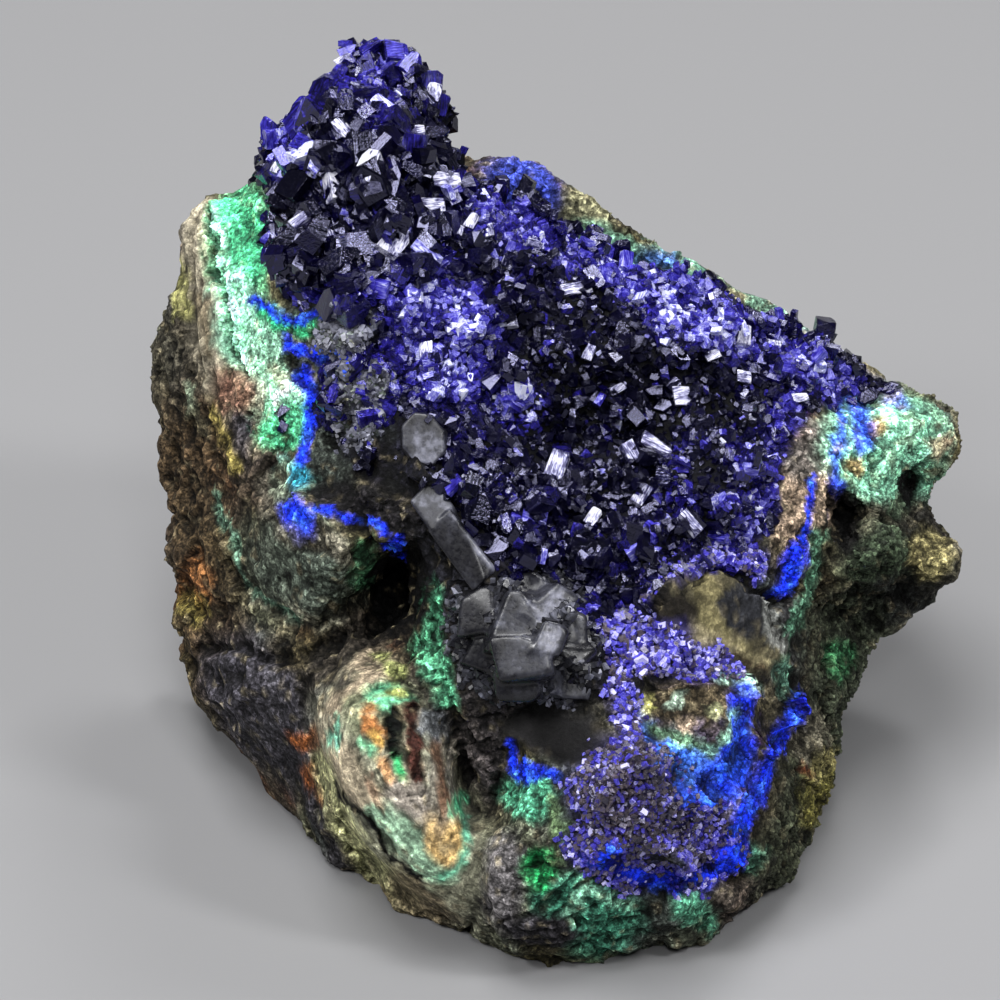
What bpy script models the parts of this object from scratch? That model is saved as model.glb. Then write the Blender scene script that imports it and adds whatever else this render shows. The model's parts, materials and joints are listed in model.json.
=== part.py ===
"""Azurite crystals on a malachite-streaked host rock, about 8 cm across.

The rock stands on a flat broken base.  Its crystal-bearing face leans back, so most of its relief is
described in a face frame: u to the right, v up along the face, w out of the face, all in millimetres.
"""
import math
import random

import bmesh
import bpy
import numpy
from mathutils import Matrix, Vector, noise

# Driving dimensions, millimetres in the face frame unless a name says otherwise.
MM = 0.001
FACE_LEAN = math.radians(30)     # the crystal face leans back this far from upright
BASE_HEIGHT = -29.5              # height of the flat base below the face frame's origin
GAP = 0.3                        # clearance between pieces that touch
BODY_DEPTH = 40.0                # depth of the front blank before it is fitted between face and back wall
RIDGE_DEPTH = 20.0               # the same for the blank of the back ridge
BODY_THINNEST = 14.0             # least depth of the front body
RIDGE_THINNEST = 8.5             # least depth of the back ridge
BODY_VOXEL = 1.3                 # mesh size of the front blank
RIDGE_VOXEL = 1.6                # mesh size of the ridge blank
ROCK_VOXEL = 0.9                 # mesh size of the joined rock
CORE_VOXEL = 1.2                 # mesh size of the surface below the crusts
ROCK_GROWTH = 0.4                # the joined rock is plumped up by this before it is roughened

# Front rim of the main body, clockwise from the spire: u, v and how far out of the face the rim lies.
BODY_RIM = [
    (-15.0, 43.8, -2), (-12.2, 44.4, -2), (-9.8, 43.6, -2), (-8.6, 41.6, -2), (-8.0, 39.0, -2),
    (-7.0, 36.0, -2), (-5.4, 33.0, -1), (-3.2, 30.2, 0), (1.8, 28.3, 1), (6.0, 26.0, 1),
    (10.5, 24.1, 0), (15.0, 22.1, 0), (19.6, 20.4, -1), (24.6, 18.2, -2), (29.6, 15.4, -3),
    (35.0, 12.8, -4), (39.0, 11.2, -4), (42.5, 9.8, -4), (45.0, 8.5, -4), (46.5, 6.0, -4),
    (44.8, 3.0, -5), (43.2, 1.0, -5), (42.7, -2.5, -6), (45.0, -4.0, -4), (46.0, -6.0, -4),
    (45.5, -7.8, -5), (43.5, -9.2, -6), (41.7, -11.0, -8), (39.0, -12.8, -8), (35.3, -14.0, -8),
    (35.7, -16.0, -7), (35.7, -19.0, -6), (34.0, -21.2, -5), (33.0, -23.5, -4), (33.6, -24.5, -4),
    (32.6, -27.5, -3), (33.3, -29.0, -2), (32.0, -30.5, -1), (30.5, -34.5, 3), (29.0, -36.8, 6),
    (27.0, -38.0, 8), (25.5, -39.3, 10), (22.0, -41.5, 13), (19.0, -43.0, 16), (14.0, -43.7, 17),
    (10.0, -44.5, 18), (7.2, -45.2, 19), (2.0, -44.5, 18), (-2.0, -43.0, 16.5), (-6.0, -41.5, 14.5),
    (-10.0, -40.5, 12), (-12.2, -38.0, 9), (-15.5, -35.5, 5), (-19.0, -33.5, 2), (-21.5, -31.2, -2),
    (-24.0, -28.0, -4), (-26.0, -25.5, -6), (-27.5, -23.7, -7), (-29.7, -21.0, -8), (-31.0, -18.8, -9),
    (-31.2, -16.5, -10), (-32.5, -14.0, -11), (-32.8, -11.5, -12), (-31.8, -9.0, -12), (-33.3, -6.5, -12),
    (-33.0, -4.0, -12), (-32.0, -1.2, -12), (-33.2, 1.0, -12), (-32.6, 4.5, -12), (-33.5, 7.0, -12),
    (-34.7, 10.0, -12), (-35.4, 13.5, -12), (-34.8, 16.5, -11), (-33.2, 19.5, -10), (-32.5, 21.5, -9),
    (-32.3, 25.5, -9), (-31.7, 29.7, -8), (-30.5, 30.2, -7), (-28.5, 30.8, -6), (-27.5, 30.0, -6),
    (-25.5, 31.0, -6), (-24.3, 31.5, -6), (-23.8, 35.0, -5), (-21.5, 38.0, -5), (-18.8, 40.0, -4),
    (-17.8, 42.0, -3),
]

# Rim of the lower ridge behind the main one, clockwise.
BACK_RIM = [
    (-22, 20), (-14, 33), (-5, 34.8), (-3.0, 35.0), (2.0, 34.5), (5.0, 32.2), (8.0, 31.7), (12.0, 28.0),
    (15.0, 26.5), (19.0, 23.8), (23.5, 21.5), (27.0, 20.8), (29.5, 18.2), (33.0, 15.5), (37.0, 13.2),
    (40.0, 11.2), (41.0, 4.0), (38.0, -8.0), (24.0, -16.0), (-12.0, -16.0), (-24.0, -4.0),
]

# Relief of the face: u, v and the distance w out of the face at each named place.
RELIEF = {
    "spire tip": (-12.2, 43.0, 2), "spire brow": (-14.5, 36.5, 9), "spire left side": (-21.0, 32.0, 3),
    "spire right side": (-6.5, 33.0, 5), "spire waist": (-12.5, 29.0, 14), "spire foot": (-10.0, 22.0, 15),
    "spire left foot": (-20.0, 22.0, 10), "spire right foot": (-3.5, 27.5, 6),
    "rind top": (-30.0, 28.0, -4), "rind middle": (-30.0, 21.0, -2), "rind foot": (-27.5, 13.0, 2),
    "green top": (-26.0, 27.0, -4), "green middle": (-25.0, 18.0, 2), "green foot": (-22.0, 8.0, 8),
    "left crag": (-32.5, 12.0, -7), "crag foot": (-29.0, 6.0, -1), "left wall": (-30.0, -4.0, -3),
    "left wall foot": (-27.0, -14.0, 0), "boulder": (-18.5, -4.5, 13), "boulder foot": (-16.0, -12.0, 11),
    "dark facet top": (-24.0, -19.0, 6), "dark facet foot": (-17.0, -30.0, 9),
    "rust patch": (-18.5, -25.0, 9),
    "terrace top": (-16.0, 16.0, 13), "terrace middle": (-10.0, 15.0, 16), "terrace left": (-13.0, 8.0, 15),
    "terrace face": (-7.0, 6.0, 21), "terrace right": (-1.0, 10.0, 16), "terrace lip": (-5.5, -2.0, 24),
    "vein": (-18.4, 8.0, 12), "cliff top": (-1.0, -3.0, 24),
    "hollow top left": (2.0, 19.0, 11), "hollow upper": (9.0, 15.5, 8), "hollow middle": (12.0, 9.0, 7),
    "hollow right": (24.0, 10.0, 5), "hollow far right": (29.0, 11.0, 3), "hollow left lip": (4.0, 6.0, 14),
    "hollow lower lip": (9.0, 0.0, 16), "hollow lower right": (20.0, 2.0, 13), "fan": (2.0, 9.4, 16),
    "ridge one": (-1.0, 25.5, 6), "ridge two": (6.0, 23.0, 6), "ridge three": (14.0, 20.5, 5),
    "ridge four": (22.0, 17.5, 4), "ridge five": (30.0, 14.0, 1), "ridge six": (35.0, 11.5, -2),
    "right wall top": (30.0, 6.0, 7), "right wall": (30.0, 0.0, 10), "right wall foot": (29.0, -7.0, 9),
    "wing root": (35.0, 5.0, 3), "wing middle": (40.0, 6.0, 2), "wing edge": (44.0, 5.5, -1),
    "mossy lump": (37.5, -5.5, 4), "shelf": (37.0, -10.5, -6), "side step": (32.5, -10.0, 0),
    "side upper": (31.0, -17.0, 4), "side middle": (30.0, -25.0, 8), "side lower": (28.0, -33.0, 10),
    "upper window": (21.5, -11.8, 20), "lower window": (18.5, -19.5, 24), "band": (13.0, -14.0, 24),
    "blue field": (19.0, -26.0, 25), "ribbon top": (26.0, -21.0, 17), "ribbon foot": (22.0, -33.0, 22),
    "druse dome": (12.2, -28.0, 31), "dome foot": (13.0, -35.5, 27), "dark patch": (5.5, -22.0, 26),
    "grey crystals": (3.0, -13.0, 29), "dark slope": (6.5, -4.5, 20), "slope foot": (9.0, -9.0, 23),
    "green crest": (-6.0, -14.0, 20), "lobe top": (-12.5, -20.0, 22), "lobe middle": (-11.0, -27.0, 26),
    "lobe foot": (-7.0, -36.5, 21), "groove": (-2.5, -28.0, 19), "green patch": (3.0, -28.5, 26),
    "grey column": (0.5, -36.0, 26), "fibrous green": (8.5, -39.0, 25), "green corner": (19.0, -39.5, 20),
    "lower lumps": (23.5, -38.5, 15),
}

# Lumps and hollows with their own edges: u, v, half length, half width, turn in degrees, height, edge share.
LUMPS = {
    "deep cavity": (-10.3, -8.8, 5.6, 3.4, 62, -17, 0.45),
    "cavity mouth": (-11.5, -13.5, 3.6, 2.4, 40, -7, 0.6),
    "boulder": (-19.0, -4.8, 7.6, 6.0, 110, 4.6, 0.45),
    "left knob": (-32.0, -5.8, 2.2, 2.0, 0, 2.2, 0.7),
    "lower left knob": (-29.5, -9.5, 3.0, 2.4, 60, 1.6, 0.7),
    "lobe": (-11.5, -27.5, 11.5, 6.2, 118, 4.4, 0.35),
    "lobe hollow": (-11.3, -21.8, 2.8, 1.6, 130, -3.4, 0.6),
    "druse dome": (12.2, -28.2, 6.4, 5.6, 0, 2.6, 0.6),
    "upper window": (21.8, -11.8, 7.6, 4.6, 150, 1.6, 0.3),
    "lower window": (18.4, -19.5, 5.4, 3.1, 165, 1.6, 0.3),
    "wing hole": (41.2, 1.8, 2.6, 1.4, 75, -9, 0.5),
    "wall cavity": (34.0, -2.0, 3.9, 2.2, 80, -9, 0.5),
    "mossy lump": (37.8, -5.8, 4.2, 3.2, 10, 3.0, 0.6),
    "end knob": (44.0, -6.2, 2.6, 2.0, 20, 3.0, 0.7),
    "violet block": (20.5, 2.2, 3.8, 3.2, 20, 2.6, 0.4),
    "grey column": (0.6, -36.5, 4.8, 2.3, 100, 2.4, 0.5),
    "groove": (-3.6, -27.0, 8.5, 1.7, 102, -5.0, 0.7),
    "turquoise knob": (-20.2, 2.0, 1.9, 1.4, 0, 2.0, 0.6),
    "foot lens": (4.0, -40.8, 4.0, 1.8, 10, 2.2, 0.5),
}

ROCK_TRIANGLES = 2750            # facets of the bare rock before the crystals are added
CORE_TRIANGLES = 700             # facets of the surface below the crusts
CRUST_DEPTH = 3.0                # thickness of the crusts
CORE_STEPS = 4                   # the crust's depth is worn off in this many steps
CRUST_TOP = 60                   # the crusts' outline blocks reach this far out of the face
WINDOW_SPARE = 10                # a window's cutter sticks out of its block by this much
LEVEL = math.radians(8)          # facets flatter than this to each other become one on the rock
CRUST_LEVEL = math.radians(1)    # and flatter than this on the cut pieces
MERGE = 0.002                    # points closer than this are one point
CRYSTAL_TRIES = 6000             # places tried for the crystals of one crust

# Outlines of the crusts on the face, u and v.
MAIN_CRUST = [
    (-21.0, 48.0), (-17.5, 45.0), (-21.0, 39.0), (-22.5, 35.0), (-23.2, 30.0), (-23.0, 24.0), (-21.0, 20.0),
    (-17.5, 19.0), (-17.0, 14.0), (-17.5, 8.0), (-14.0, 3.0), (-9.0, 1.0), (-6.0, -2.0), (-3.0, -6.0),
    (0.0, -7.0), (4.0, -7.5), (9.0, -8.0), (11.0, -10.5), (14.0, -9.5), (15.5, -7.0), (19.0, -6.0),
    (23.5, -5.0), (26.5, -2.0), (27.5, 4.0), (30.0, 8.0), (35.0, 10.0), (39.0, 11.0), (40.5, 14.0),
    (35.0, 16.5), (30.0, 20.0), (24.0, 22.0), (19.0, 25.0), (14.0, 27.2), (10.0, 29.0), (6.0, 31.0),
    (2.0, 33.0), (-1.5, 36.0), (-3.0, 40.0), (-4.0, 46.0), (-8.0, 49.0),
]
LOWER_CRUST = [
    (10.2, -14.0), (14.0, -11.2), (19.0, -11.8), (23.5, -14.0), (26.0, -16.5), (29.0, -18.0), (31.2, -20.0),
    (30.0, -22.5), (27.5, -25.0), (26.5, -29.0), (24.5, -33.0), (21.5, -36.0), (17.0, -37.2), (12.0, -36.8),
    (7.0, -35.0), (4.8, -31.5), (5.2, -28.0), (7.0, -25.0), (10.0, -23.5), (12.8, -21.5), (11.2, -19.0),
    (10.2, -16.0),
]
GREY_CRYSTALS = [
    (-3.4, -9.5), (-1.0, -8.0), (4.0, -8.5), (8.5, -9.2), (9.6, -12.0), (9.4, -16.0), (8.0, -18.5),
    (4.0, -19.6), (-0.5, -17.5), (-3.0, -14.5),
]
LEFT_GREEN = [
    (-29.5, 33.0), (-24.3, 34.0), (-24.2, 30.0), (-23.9, 24.0), (-22.0, 19.2), (-18.4, 18.0), (-17.9, 14.0),
    (-18.4, 8.2), (-18.6, 5.2), (-22.0, 4.4), (-25.0, 5.2), (-23.8, 8.0), (-26.0, 11.0), (-27.6, 16.0),
    (-28.8, 21.0), (-29.6, 26.0),
]
RIGHT_GREEN = [
    (34.6, 3.0), (34.8, 7.0), (36.0, 9.4), (39.6, 10.4), (41.2, 13.5), (44.0, 12.5), (49.0, 9.0),
    (49.0, 5.0), (46.0, 1.0), (45.0, -2.5), (41.5, -3.0), (38.0, -1.5), (36.0, 0.0), (34.5, 1.0),
]
WINDOWS = {"azurite_lower_crust": (18.6, -19.5, 5.0, 2.8, 165)}     # bare rock inside a crust


def to_world(points):
    """Face-frame millimetres to world metres."""
    points = numpy.asarray(points, float)
    u, v, w = points[:, 0], points[:, 1], points[:, 2]
    y = v * math.sin(FACE_LEAN) - w * math.cos(FACE_LEAN)
    z = v * math.cos(FACE_LEAN) + w * math.sin(FACE_LEAN) - BASE_HEIGHT
    return numpy.c_[u, y, z] * MM


def thin_plate(points, softness=0.5):
    """Smooth sheet through (u, v, w) points: a function giving w at many (u, v)."""
    points = numpy.array(points, float)
    count = len(points)

    def bend(a, b):
        square = ((a[:, None, :] - b[None, :, :]) ** 2).sum(axis=2) + 1e-9
        return 0.5 * square * numpy.log(square)

    system = numpy.zeros((count + 3, count + 3))
    system[:count, :count] = bend(points[:, :2], points[:, :2]) + softness * numpy.eye(count)
    system[:count, count] = 1
    system[:count, count + 1:] = points[:, :2]
    system[count:, :count] = system[:count, count:].T
    weights = numpy.linalg.solve(system, numpy.r_[points[:, 2], 0, 0, 0])

    def sheet(places):
        out = numpy.empty(len(places))
        for start in range(0, len(places), 4000):
            some = places[start:start + 4000]
            out[start:start + 4000] = (bend(some, points[:, :2]) @ weights[:count]
                                       + weights[count] + some @ weights[count + 1:])
        return out
    return sheet


def lump_relief(places):
    """Sum of the lumps and hollows at many (u, v)."""
    total = numpy.zeros(len(places))
    for u, v, length, width, turn, height, edge in LUMPS.values():
        angle = math.radians(turn)
        along = (places[:, 0] - u) * math.cos(angle) + (places[:, 1] - v) * math.sin(angle)
        across = (places[:, 1] - v) * math.cos(angle) - (places[:, 0] - u) * math.sin(angle)
        inside = (1.0 - numpy.hypot(along / length, across / width)) / edge
        inside = numpy.clip(inside, 0, 1)
        total += height * inside * inside * (3 - 2 * inside)
    return total


FACE_SHEET = thin_plate(BODY_RIM + list(RELIEF.values()))


def front_of(places):
    """Distance of the rock's face out of the face frame at many (u, v)."""
    return FACE_SHEET(places) + lump_relief(places)


def back_of(places):
    """The back is a rough upright wall, rounded towards both ends."""
    wall = 22.0 - 0.011 * (places[:, 0] - 3.0) ** 2 - 0.006 * (places[:, 1] - 4.0) ** 2
    return (places[:, 1] * math.sin(FACE_LEAN) - wall) / math.cos(FACE_LEAN)


def new_mesh_object(name, mesh, collection):
    item = bpy.data.objects.new(name, mesh)
    collection.objects.link(item)
    return item


def evaluated_copy(item):
    """Mesh of an object with its modifiers applied."""
    bpy.context.view_layer.update()
    graph = bpy.context.evaluated_depsgraph_get()
    return bpy.data.meshes.new_from_object(item.evaluated_get(graph))


def filled_outline(name, outline, depth, collection):
    """Welded mesh of a slab with the given (u, v) outline, half of its depth on either side."""
    curve = bpy.data.curves.new(name, "CURVE")
    curve.dimensions = "2D"
    curve.fill_mode = "BOTH"
    curve.extrude = depth / 2
    spline = curve.splines.new("POLY")
    spline.points.add(len(outline) - 1)
    for point, place in zip(spline.points, outline):
        point.co = (place[0], place[1], 0, 1)
    spline.use_cyclic_u = True
    item = bpy.data.objects.new(name, curve)
    collection.objects.link(item)
    mesh = evaluated_copy(item)
    bpy.data.objects.remove(item)
    weld(mesh, 0.001)
    return mesh


def outline_blank(name, outline, depth, voxel, collection):
    """Evenly meshed slab with the given (u, v) outline, in millimetres."""
    blank = new_mesh_object(name, filled_outline(name, outline, depth, collection), collection)
    add_remesh(blank, voxel)
    even = evaluated_copy(blank)
    bpy.data.objects.remove(blank)
    return even


def weld(mesh, distance):
    work = bmesh.new()
    work.from_mesh(mesh)
    bmesh.ops.remove_doubles(work, verts=work.verts, dist=distance)
    bmesh.ops.recalc_face_normals(work, faces=work.faces)
    work.to_mesh(mesh)
    work.free()


def get_points(mesh):
    flat = numpy.empty(len(mesh.vertices) * 3, numpy.float32)
    mesh.vertices.foreach_get("co", flat)
    return flat.reshape(-1, 3).astype(float)


def set_points(mesh, points):
    mesh.vertices.foreach_set("co", numpy.asarray(points, numpy.float32).ravel())
    mesh.update()


def apply_modifiers(item):
    mesh = evaluated_copy(item)
    item.modifiers.clear()
    item.data = mesh


def stretch_depth(mesh, depth, front, thinnest):
    """Fits a slab's depth between the back wall and its front, one front value for each point."""
    points = get_points(mesh)
    share = numpy.clip((2 * points[:, 2] / depth + 1) / 2, 0, 1)
    back = numpy.minimum(back_of(points[:, :2]), front - thinnest)
    points[:, 2] = back + (front - back) * share
    set_points(mesh, to_world(points))
    return mesh


def main_body(collection):
    """The rock in front: its depth runs from the back wall to the relief of the face."""
    mesh = outline_blank("body", BODY_RIM, BODY_DEPTH, BODY_VOXEL, collection)
    return stretch_depth(mesh, BODY_DEPTH, front_of(get_points(mesh)[:, :2]), BODY_THINNEST)


def back_body(collection):
    """The lower ridge behind the main one, whose front falls away to both sides."""
    mesh = outline_blank("back", BACK_RIM, RIDGE_DEPTH, RIDGE_VOXEL, collection)
    front = -11.5 - 0.12 * numpy.abs(get_points(mesh)[:, 0] - 12)
    return stretch_depth(mesh, RIDGE_DEPTH, front, RIDGE_THINNEST)


def roughen(mesh):
    """Broken-rock roughness: blocky steps, creases and fine bumps, along each point's normal."""
    mesh.update()
    points = get_points(mesh)
    normals = numpy.array([vertex.normal for vertex in mesh.vertices])
    moved = points.copy()
    for index, point in enumerate(points):
        spot = Vector(point) * 1000
        broad = noise.noise(spot * 0.11) * 1.0
        cells = noise.voronoi(spot * 0.21 + Vector((3, 7, 1)))[0]
        blocks = (cells[1] - cells[0]) * 1.5 - 0.5
        fine = noise.turbulence(spot * 0.45, 2, True) - 0.5
        behind = min(1.0, max(0.0, normals[index][1]))
        amount = (1 - 0.5 * behind) * MM
        moved[index] += normals[index] * (broad + blocks * 0.9 + fine * 0.6) * amount
    set_points(mesh, moved)


def rock_blank(collection):
    """Both bodies joined and roughened, as one dense rock."""
    bodies = [new_mesh_object("blank", mesh, collection)
              for mesh in (main_body(collection), back_body(collection))]
    rock = join("rock", bodies, collection)
    add_remesh(rock, ROCK_VOXEL * MM)
    apply_modifiers(rock)
    grow(rock, ROCK_GROWTH)
    roughen(rock.data)
    return rock


def join(name, items, collection):
    """One object holding the meshes of several, which are removed."""
    work = bmesh.new()
    for item in items:
        work.from_mesh(item.data)
        bpy.data.objects.remove(item)
    mesh = bpy.data.meshes.new(name)
    work.to_mesh(mesh)
    work.free()
    return new_mesh_object(name, mesh, collection)


def copy_of(item, name, collection):
    return new_mesh_object(name, item.data.copy(), collection)


def add_remesh(item, size):
    remesh = item.modifiers.new("even", "REMESH")
    remesh.mode = "VOXEL"
    remesh.voxel_size = size


def reduce_to(item, triangles):
    fewer = item.modifiers.new("fewer", "DECIMATE")
    fewer.ratio = triangles / sum(len(face.vertices) - 2 for face in item.data.polygons)
    apply_modifiers(item)


def grow(item, distance):
    """Moves the surface along its normals by a distance in millimetres."""
    displace = item.modifiers.new("grow", "DISPLACE")
    displace.strength = distance * MM
    displace.mid_level = 0
    apply_modifiers(item)


def combine(item, operation, other, keep_other=False, crossing=False):
    """Boolean of two closed objects; the other one is used up unless it is kept.

    The manifold solver takes pieces whose surfaces cross themselves: there the exact one leaves
    slivers behind.
    """
    cut = item.modifiers.new("cut", "BOOLEAN")
    cut.operation = operation
    cut.solver = "MANIFOLD" if crossing else "EXACT"
    cut.object = other
    apply_modifiers(item)
    clean(item)
    if not keep_other:
        bpy.data.objects.remove(other)


def clean(item, level=0):
    """Merges coincident points, joins facets that are nearly level and keeps the largest body."""
    work = bmesh.new()
    work.from_mesh(item.data)
    bmesh.ops.remove_doubles(work, verts=work.verts, dist=MERGE * MM)
    if level:
        bmesh.ops.dissolve_limit(work, angle_limit=level, verts=work.verts, edges=work.edges)
    bmesh.ops.triangulate(work, faces=work.faces)
    for body in islands(work)[1:]:
        bmesh.ops.delete(work, geom=body, context="FACES")
    loose = [vertex for vertex in work.verts if not vertex.link_faces]
    bmesh.ops.delete(work, geom=loose, context="VERTS")
    torn = [edge for edge in work.edges if len(edge.link_faces) == 1]
    bmesh.ops.holes_fill(work, edges=torn)
    bmesh.ops.recalc_face_normals(work, faces=work.faces)
    work.to_mesh(item.data)
    work.free()


def islands(work):
    """Connected groups of faces, the largest first."""
    left = set(work.faces)
    groups = []
    while left:
        group = [left.pop()]
        for face in group:
            for edge in face.edges:
                for neighbour in edge.link_faces:
                    if neighbour in left:
                        left.discard(neighbour)
                        group.append(neighbour)
        groups.append(group)
    return sorted(groups, key=lambda faces: -sum(face.calc_area() for face in faces))


def cut_base(item):
    """Cuts the rock off flat at height zero."""
    bpy.ops.mesh.primitive_cube_add(size=0.3, location=(0, 0, -0.15))
    block = bpy.context.object
    combine(item, "DIFFERENCE", block)


def face_matrix():
    """Places something drawn in u, v, w millimetres into the world."""
    corner, along_u, along_v, along_w = to_world([(0, 0, 0), (1, 0, 0), (0, 1, 0), (0, 0, 1)])
    columns = [along_u - corner, along_v - corner, along_w - corner, corner]
    return Matrix([[column[row] for column in columns] for row in range(3)] + [[0, 0, 0, 1]])


def prism(name, outline, low, high, collection):
    """Upright block over a (u, v) outline, from w = low to w = high."""
    mesh = filled_outline(name, outline, high - low, collection)
    mesh.transform(face_matrix() @ Matrix.Translation((0, 0, (high + low) / 2)))
    return new_mesh_object(name, mesh, collection)


def oval(u, v, length, width, turn, count=14):
    """Outline points of an ellipse."""
    angle = math.radians(turn)
    points = []
    for step in range(count):
        a = 2 * math.pi * step / count
        along, across = length * math.cos(a), width * math.sin(a)
        points.append((u + along * math.cos(angle) - across * math.sin(angle),
                       v + along * math.sin(angle) + across * math.cos(angle)))
    return points


def inside_outline(u, v, outline):
    """Even-odd test of a (u, v) place against a closed outline."""
    inside = False
    for (u1, v1), (u2, v2) in zip(outline, outline[1:] + outline[:1]):
        if (v1 > v) != (v2 > v) and u < (u2 - u1) * (v - v1) / (v2 - v1) + u1:
            inside = not inside
    return inside


def outline_clearance(u, v, outline):
    """Distance from a place to the nearest edge of an outline."""
    best = 1e9
    for (u1, v1), (u2, v2) in zip(outline, outline[1:] + outline[:1]):
        du, dv = u2 - u1, v2 - v1
        share = max(0, min(1, ((u - u1) * du + (v - v1) * dv) / (du * du + dv * dv)))
        best = min(best, math.hypot(u - u1 - share * du, v - v1 - share * dv))
    return best


def crystal(work, place, axis, length, width, dice):
    """Blocky azurite crystal with a slanted chisel tip, rooted below the surface."""
    made = bmesh.ops.create_cube(work, size=1.0)
    slant = dice.uniform(-0.45, 0.45)
    pinch = dice.uniform(0.25, 0.7)
    for vertex in made["verts"]:
        vertex.co = Vector((vertex.co.x * width, vertex.co.y * width * 0.66, vertex.co.z * length))
        if vertex.co.z > 0:
            vertex.co.y *= pinch
            vertex.co.x *= 0.85
            vertex.co.z += slant * vertex.co.x
    turn = Matrix.Rotation(dice.uniform(0, 2 * math.pi), 4, "Z")
    aim = Vector((0, 0, 1)).rotation_difference(axis).to_matrix().to_4x4()
    root = Matrix.Translation(place + axis * length * 0.08)
    bmesh.ops.transform(work, verts=made["verts"], matrix=root @ aim @ turn)


def outside_window(spot, window, spacing):
    """Whether a place keeps clear of the bare window in its crust."""
    if not window:
        return True
    return math.hypot(spot.x - window[0], (spot.y - window[1]) * 1.5) > window[2] + spacing * 0.3


def faces_within(rock, outline, lowest):
    """The rock's faces whose middle lies inside an outline and far enough out of the face."""
    to_face = face_matrix().inverted()
    faces = []
    for face in rock.data.polygons:
        spot = to_face @ face.center
        if spot.z > lowest and inside_outline(spot.x, spot.y, outline):
            faces.append(face)
    return faces


def place_on(face, mesh, dice):
    """A place taken at random on a triangle."""
    a, b = sorted((dice.random(), dice.random()))
    corners = [mesh.vertices[index].co for index in face.vertices]
    return corners[0] * a + corners[1] * (b - a) + corners[2] * (1 - b)


def tip_fits(tip, outline, window, spacing):
    """Whether a crystal's tip stays inside its crust's outline and out of the bare window."""
    if not inside_outline(tip.x, tip.y, outline) or not outside_window(tip, window, spacing):
        return False
    return outline_clearance(tip.x, tip.y, outline) >= spacing * 0.3


def plant_crystals(rock, outline, window, spacing_at, lowest, seed, collection):
    """Crystals spread evenly over the rock inside an outline, each standing off the surface."""
    dice = random.Random(seed)
    to_face = face_matrix().inverted()
    faces = faces_within(rock, outline, lowest)
    chosen = []
    work = bmesh.new()
    for face in dice.choices(faces, weights=[face.area for face in faces], k=CRYSTAL_TRIES):
        place = place_on(face, rock.data, dice)
        spot = to_face @ place
        spacing = spacing_at(spot)
        clear = all((place - other).length > spacing * MM for other in chosen)
        if not clear or outline_clearance(spot.x, spot.y, outline) <= spacing * 0.45:
            continue
        lean = Vector((dice.gauss(0, 0.35), dice.gauss(0, 0.35), dice.gauss(0, 0.35)))
        axis = (face.normal + lean).normalized()
        if tip_fits(to_face @ (place + axis * spacing * 0.6 * MM), outline, window, spacing):
            chosen.append(place)
            length = spacing * dice.uniform(0.7, 1.1) * MM
            width = spacing * dice.uniform(0.8, 1.15) * MM
            crystal(work, place, axis, length, width, dice)
    mesh = bpy.data.meshes.new("crystals")
    work.to_mesh(mesh)
    work.free()
    return new_mesh_object("crystals", mesh, collection)


def main_spacing(spot):
    """Coarse blocks on the spire, finer crystals in the hollow and finest along the ridge."""
    if spot.y > 22 and spot.x < 0:
        return 4.2
    if spot.x > 8 and spot.y > 16:
        return 4.2
    return 4.9


# Outline, lowest w it reaches, colour, roughness, crystal spacing and seed of each crust.
CRUSTS = {
    "azurite_main_crust": (MAIN_CRUST, -9, (0.012, 0.012, 0.09), 0.15, main_spacing, 18),
    "azurite_lower_crust": (LOWER_CRUST, -4, (0.03, 0.05, 0.5), 0.5, lambda spot: 4.2, 19),
    "grey_crystal_cluster": (GREY_CRYSTALS, 0, (0.16, 0.18, 0.26), 0.2, lambda spot: 3.4, 20),
    "malachite_left_crust": (LEFT_GREEN, -9, (0.12, 0.45, 0.3), 0.8, None, None),
    "malachite_wing": (RIGHT_GREEN, -14, (0.15, 0.5, 0.33), 0.8, None, None),
}
ROCK_COLOUR = (0.16, 0.14, 0.10)
ROCK_ROUGHNESS = 0.9


def finish(item, colour, roughness):
    """Gives a piece its own plain, unmetallic material."""
    material = bpy.data.materials.new(item.name)
    material.use_nodes = True
    shader = material.node_tree.nodes["Principled BSDF"]
    shader.inputs["Base Color"].default_value = (*colour, 1)
    shader.inputs["Roughness"].default_value = roughness
    shader.inputs["Metallic"].default_value = 0.0
    item.data.materials.clear()
    item.data.materials.append(material)


def core_of(dense, collection):
    """The surface below the crusts: the rock worn down evenly, in small steps, and made plainer."""
    core = copy_of(dense, "core", collection)
    for step in range(CORE_STEPS):
        grow(core, -CRUST_DEPTH / CORE_STEPS)
        add_remesh(core, CORE_VOXEL * MM)
        apply_modifiers(core)
    soften = core.modifiers.new("soften", "SMOOTH")
    soften.iterations = 8
    reduce_to(core, CORE_TRIANGLES)
    clean(core, LEVEL)
    cut_base(core)
    return core


def crust_block(name, outline, lowest, collection):
    """The block that cuts a crust out of the rock's skin, less the bare window inside it."""
    block = prism("block", outline, lowest, CRUST_TOP, collection)
    if name in WINDOWS:
        low, high = lowest - WINDOW_SPARE / 2, CRUST_TOP + WINDOW_SPARE
        combine(block, "DIFFERENCE", prism("window", oval(*WINDOWS[name]), low, high, collection))
    return block


def centre_over_origin(items):
    """Moves the pieces together so that the origin is at the bottom centre of their common box."""
    points = numpy.concatenate([get_points(item.data) for item in items])
    middle = (points.min(axis=0) + points.max(axis=0)) / 2
    for item in items:
        item.data.transform(Matrix.Translation((-middle[0], -middle[1], 0)))


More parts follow.
